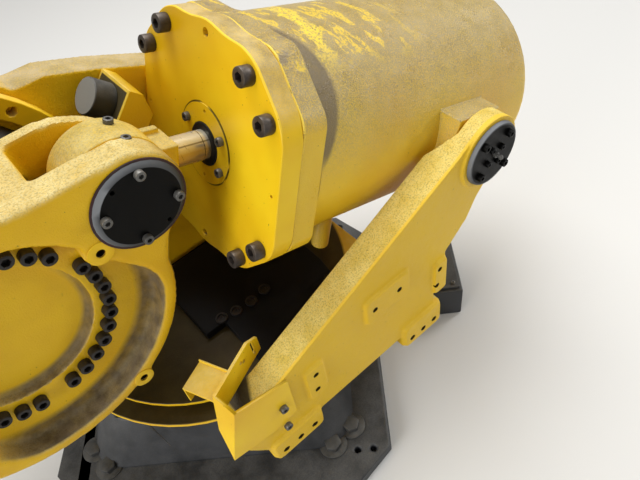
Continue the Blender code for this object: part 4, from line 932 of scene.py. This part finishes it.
# Screws with their counterbored collars on the gear cover
coverScrews = {"spots": ((-0.029, -0.152), (0.005, -0.160), (0.044, -0.163), (0.084, -0.159)), "top": 0.3523,
               "head": 0.008184, "height": 0.0036, "socket": 0.004, "bore": 0.0088, "collar": 0.0135,
               "collarHeight": 0.006, "collarEdge": 0.0012}
places = [standing((x, y, coverScrews["top"]), upwards, x * 40) for x, y in coverScrews["spots"]]
collar = modelRing("cover_collar", coverScrews["bore"], coverScrews["collar"], coverScrews["collarHeight"],
                   coverScrews["collarEdge"], 36)
placeCopies(collar, "cover_collars", places, "turret", hubOxide)
placeCopies(modelCapScrew("cover_screw", coverScrews), "cover_screws", places, "turret", hubOxide)

# Screws at the back: motor flange, motors, far trunnion cap, and the elbow with its tapped seat
flangeScrews = {"circle": 0.172, "start": 15, "count": 12, "face": 0.1673, "head": 0.009, "height": 0.011,
                "socket": 0.0048}
places = aroundAxis(hub, flangeScrews["circle"], evenly(flangeScrews["start"], flangeScrews["count"]),
                    flangeScrews["face"], sideways)
placeCopies(modelCapScrew("flange_screw", flangeScrews), "motor_flange_screws", places, "turret", blackOxide)

motorScrews = {"head": 0.0065, "height": 0.006, "socket": 0.0035, "shoulder": Vector((hub.x, 0.4386, hub.z)),
               "shoulderAside": 0.072, "swing": Vector((0, 0.228, 0.6303)), "swingAside": 0.062}
places = []
for a, b in squareCorners:
    corner = Vector((a, 0, b)) * motorScrews["shoulderAside"]
    places.append(standing(motorScrews["shoulder"] + corner, sideways))
    corner = Vector((a, b, 0)) * motorScrews["swingAside"]
    places.append(standing(motorScrews["swing"] + corner, upwards))
placeCopies(modelCapScrew("motor_screw", motorScrews), "motor_screws", places, "turret", greyOxide)
places = aroundAxis(trunnion, trunnionCap["circle"], angles, trunnionCap["farFace"], sideways)
placeCopies(modelCapScrew("far_cap_screw", smallHead), "far_cap_screws", places, "turret", capBlack)

elbowCover = {"circle": 0.106, "start": 22.5, "count": 8, "face": -0.2475}
places = aroundAxis(elbow, elbowCover["circle"], evenly(elbowCover["start"], elbowCover["count"]),
                    elbowCover["face"])
placeCopies(modelCapScrew("elbow_screw", smallHead), "elbow_cover_screws", places, "turret", greyOxide)
elbowSeat = {"circle": 0.135, "start": 15, "count": 12, "face": -0.0357, "hole": 0.0068, "depth": 0.018}
places = aroundAxis(elbow, elbowSeat["circle"], evenly(elbowSeat["start"], elbowSeat["count"]),
                    elbowSeat["face"])
drill(shaped["elbow_seat_ring"], [place.translation for place in places], nearSide,
      elbowSeat["hole"], elbowSeat["depth"])
print("back and elbow screws placed")

# Lid screws and cable plugs of the connector box, given in the foot's own frame
connector = {"middle": (0.5238, 0.132), "along": 0.095, "aside": 0.078, "top": 0.1143, "head": 0.005,
             "height": 0.005, "socket": 0.0027, "farSide": 0.231, "plugsAlong": (0.455, 0.585),
             "plugHeight": 0.056, "plugEdge": 0.0006}
plugSteps = [(0.027, 0), (0.027, 0.004), (0.0215, 0.0008), (0.0215, 0.012), (0.0235, 0.0008), (0.0235, 0.012),
             (0.016, 0.003), (0.014, 0.004)]
turn = Matrix.Rotation(footHeading, 4, "Z")
places = [turn @ standing((connector["middle"][0] + a * connector["along"],
                           connector["middle"][1] + b * connector["aside"], connector["top"]), upwards)
          for a, b in squareCorners]
placeCopies(modelCapScrew("lid_screw", connector), "connector_lid_screws", places, "foot", greyOxide)
plug = modelStepped("cable_plug", plugSteps, 32, connector["plugEdge"])
places = [turn @ standing((along, connector["farSide"], connector["plugHeight"]), sideways)
          for along in connector["plugsAlong"]]
placeCopies(plug, "cable_plugs", places, "foot", plugPlastic)
print("connector box fitted")

# Bolts of the foot
footBolts = {"flat": 0.036, "height": 0.015, "washer": 0.004, "top": 0.040,
             "spots": ((0.270, -0.316), (0.316, -0.274))}
places = []
for quarter in range(4):
    for x, y in footBolts["spots"]:
        turn = Matrix.Rotation(footHeading + quarter * math.pi / 2, 4, "Z")
        places.append(turn @ Matrix.Translation((x, y, footBolts["top"])) @ Matrix.Rotation(x * 9, 4, "Z"))
bolt = modelHexBolt("foot_bolt", footBolts["flat"], footBolts["height"], footBolts["washer"])
placeCopies(bolt, "foot_bolts", places, "foot", boltGrey)
print("foot bolts placed")

for node in finishes:
    evenShading(shaped[node])
print("shading evened")

# Floor, light, camera


stage = {"floorSize": 14, "floorDrop": 0.0005, "floor": "#dcdbd8", "world": "#f2f1ee", "worldPower": 0.40}
# Soft lamps: place, where it points, size across, power
lamps = {
    "key": ((0.6, 0.9, 3.6), (0, -0.1, 0.6), 2.2, 96), "front": ((-3.3, -0.7, 1.9), (0, -0.1, 0.6), 2.0, 80),
    "rear": ((3.8, -0.7, 3.0), (0, -0.1, 0.7), 1.2, 60),
    "window": ((2.9, -2.1, 0.9), (0.3, -0.3, 0.7), 0.28, 13),
}
# The camera that took the photograph, solved from the machine's circles and edges
view = {"place": (-0.232, -0.919, 1.431), "right": Vector((0.74999, -0.64986, -0.12332)),
        "down": Vector((-0.56113, -0.52636, -0.63881)), "ahead": Vector((0.35023, 0.54830, -0.75941)),
        "sensor": 36.0, "lens": 33.868, "clip": 0.01}


def makeFloor():
    deselectAll()
    bpy.ops.mesh.primitive_plane_add(size=stage["floorSize"], location=(0, 0, -stage["floorDrop"]))
    floor = bpy.context.object
    floor.name = "floor"
    material, shader = newMaterial("pale matt floor")[0::2]
    shader.inputs["Base Color"].default_value = linear(stage["floor"])
    shader.inputs["Roughness"].default_value = 0.9
    paintWith(floor, material)


def addLamp(name, place, target, size, power):
    lamp = bpy.data.lights.new(name, "AREA")
    lamp.shape = "DISK"
    lamp.size = size
    lamp.energy = power
    holder = bpy.data.objects.new(name, lamp)
    bpy.context.collection.objects.link(holder)
    holder.location = place
    holder.rotation_euler = (Vector(target) - Vector(place)).to_track_quat("-Z", "Y").to_euler()


makeFloor()
for name, settings in lamps.items():
    addLamp(name, *settings)
world = bpy.data.worlds.new("soft studio")
bpy.context.scene.world = world
world.use_nodes = True
background = world.node_tree.nodes["Background"]
background.inputs[0].default_value = linear(stage["world"])
background.inputs[1].default_value = stage["worldPower"]
bpy.context.scene.view_settings.view_transform = "Standard"

lens = bpy.data.cameras.new("camera")
lens.sensor_width = view["sensor"]
lens.lens = view["lens"]
lens.clip_start = view["clip"]
camera = bpy.data.objects.new("camera", lens)
bpy.context.collection.objects.link(camera)
camera.location = view["place"]
camera.rotation_euler = Matrix((view["right"], -view["down"], -view["ahead"])).transposed().to_euler()
bpy.context.scene.camera = camera
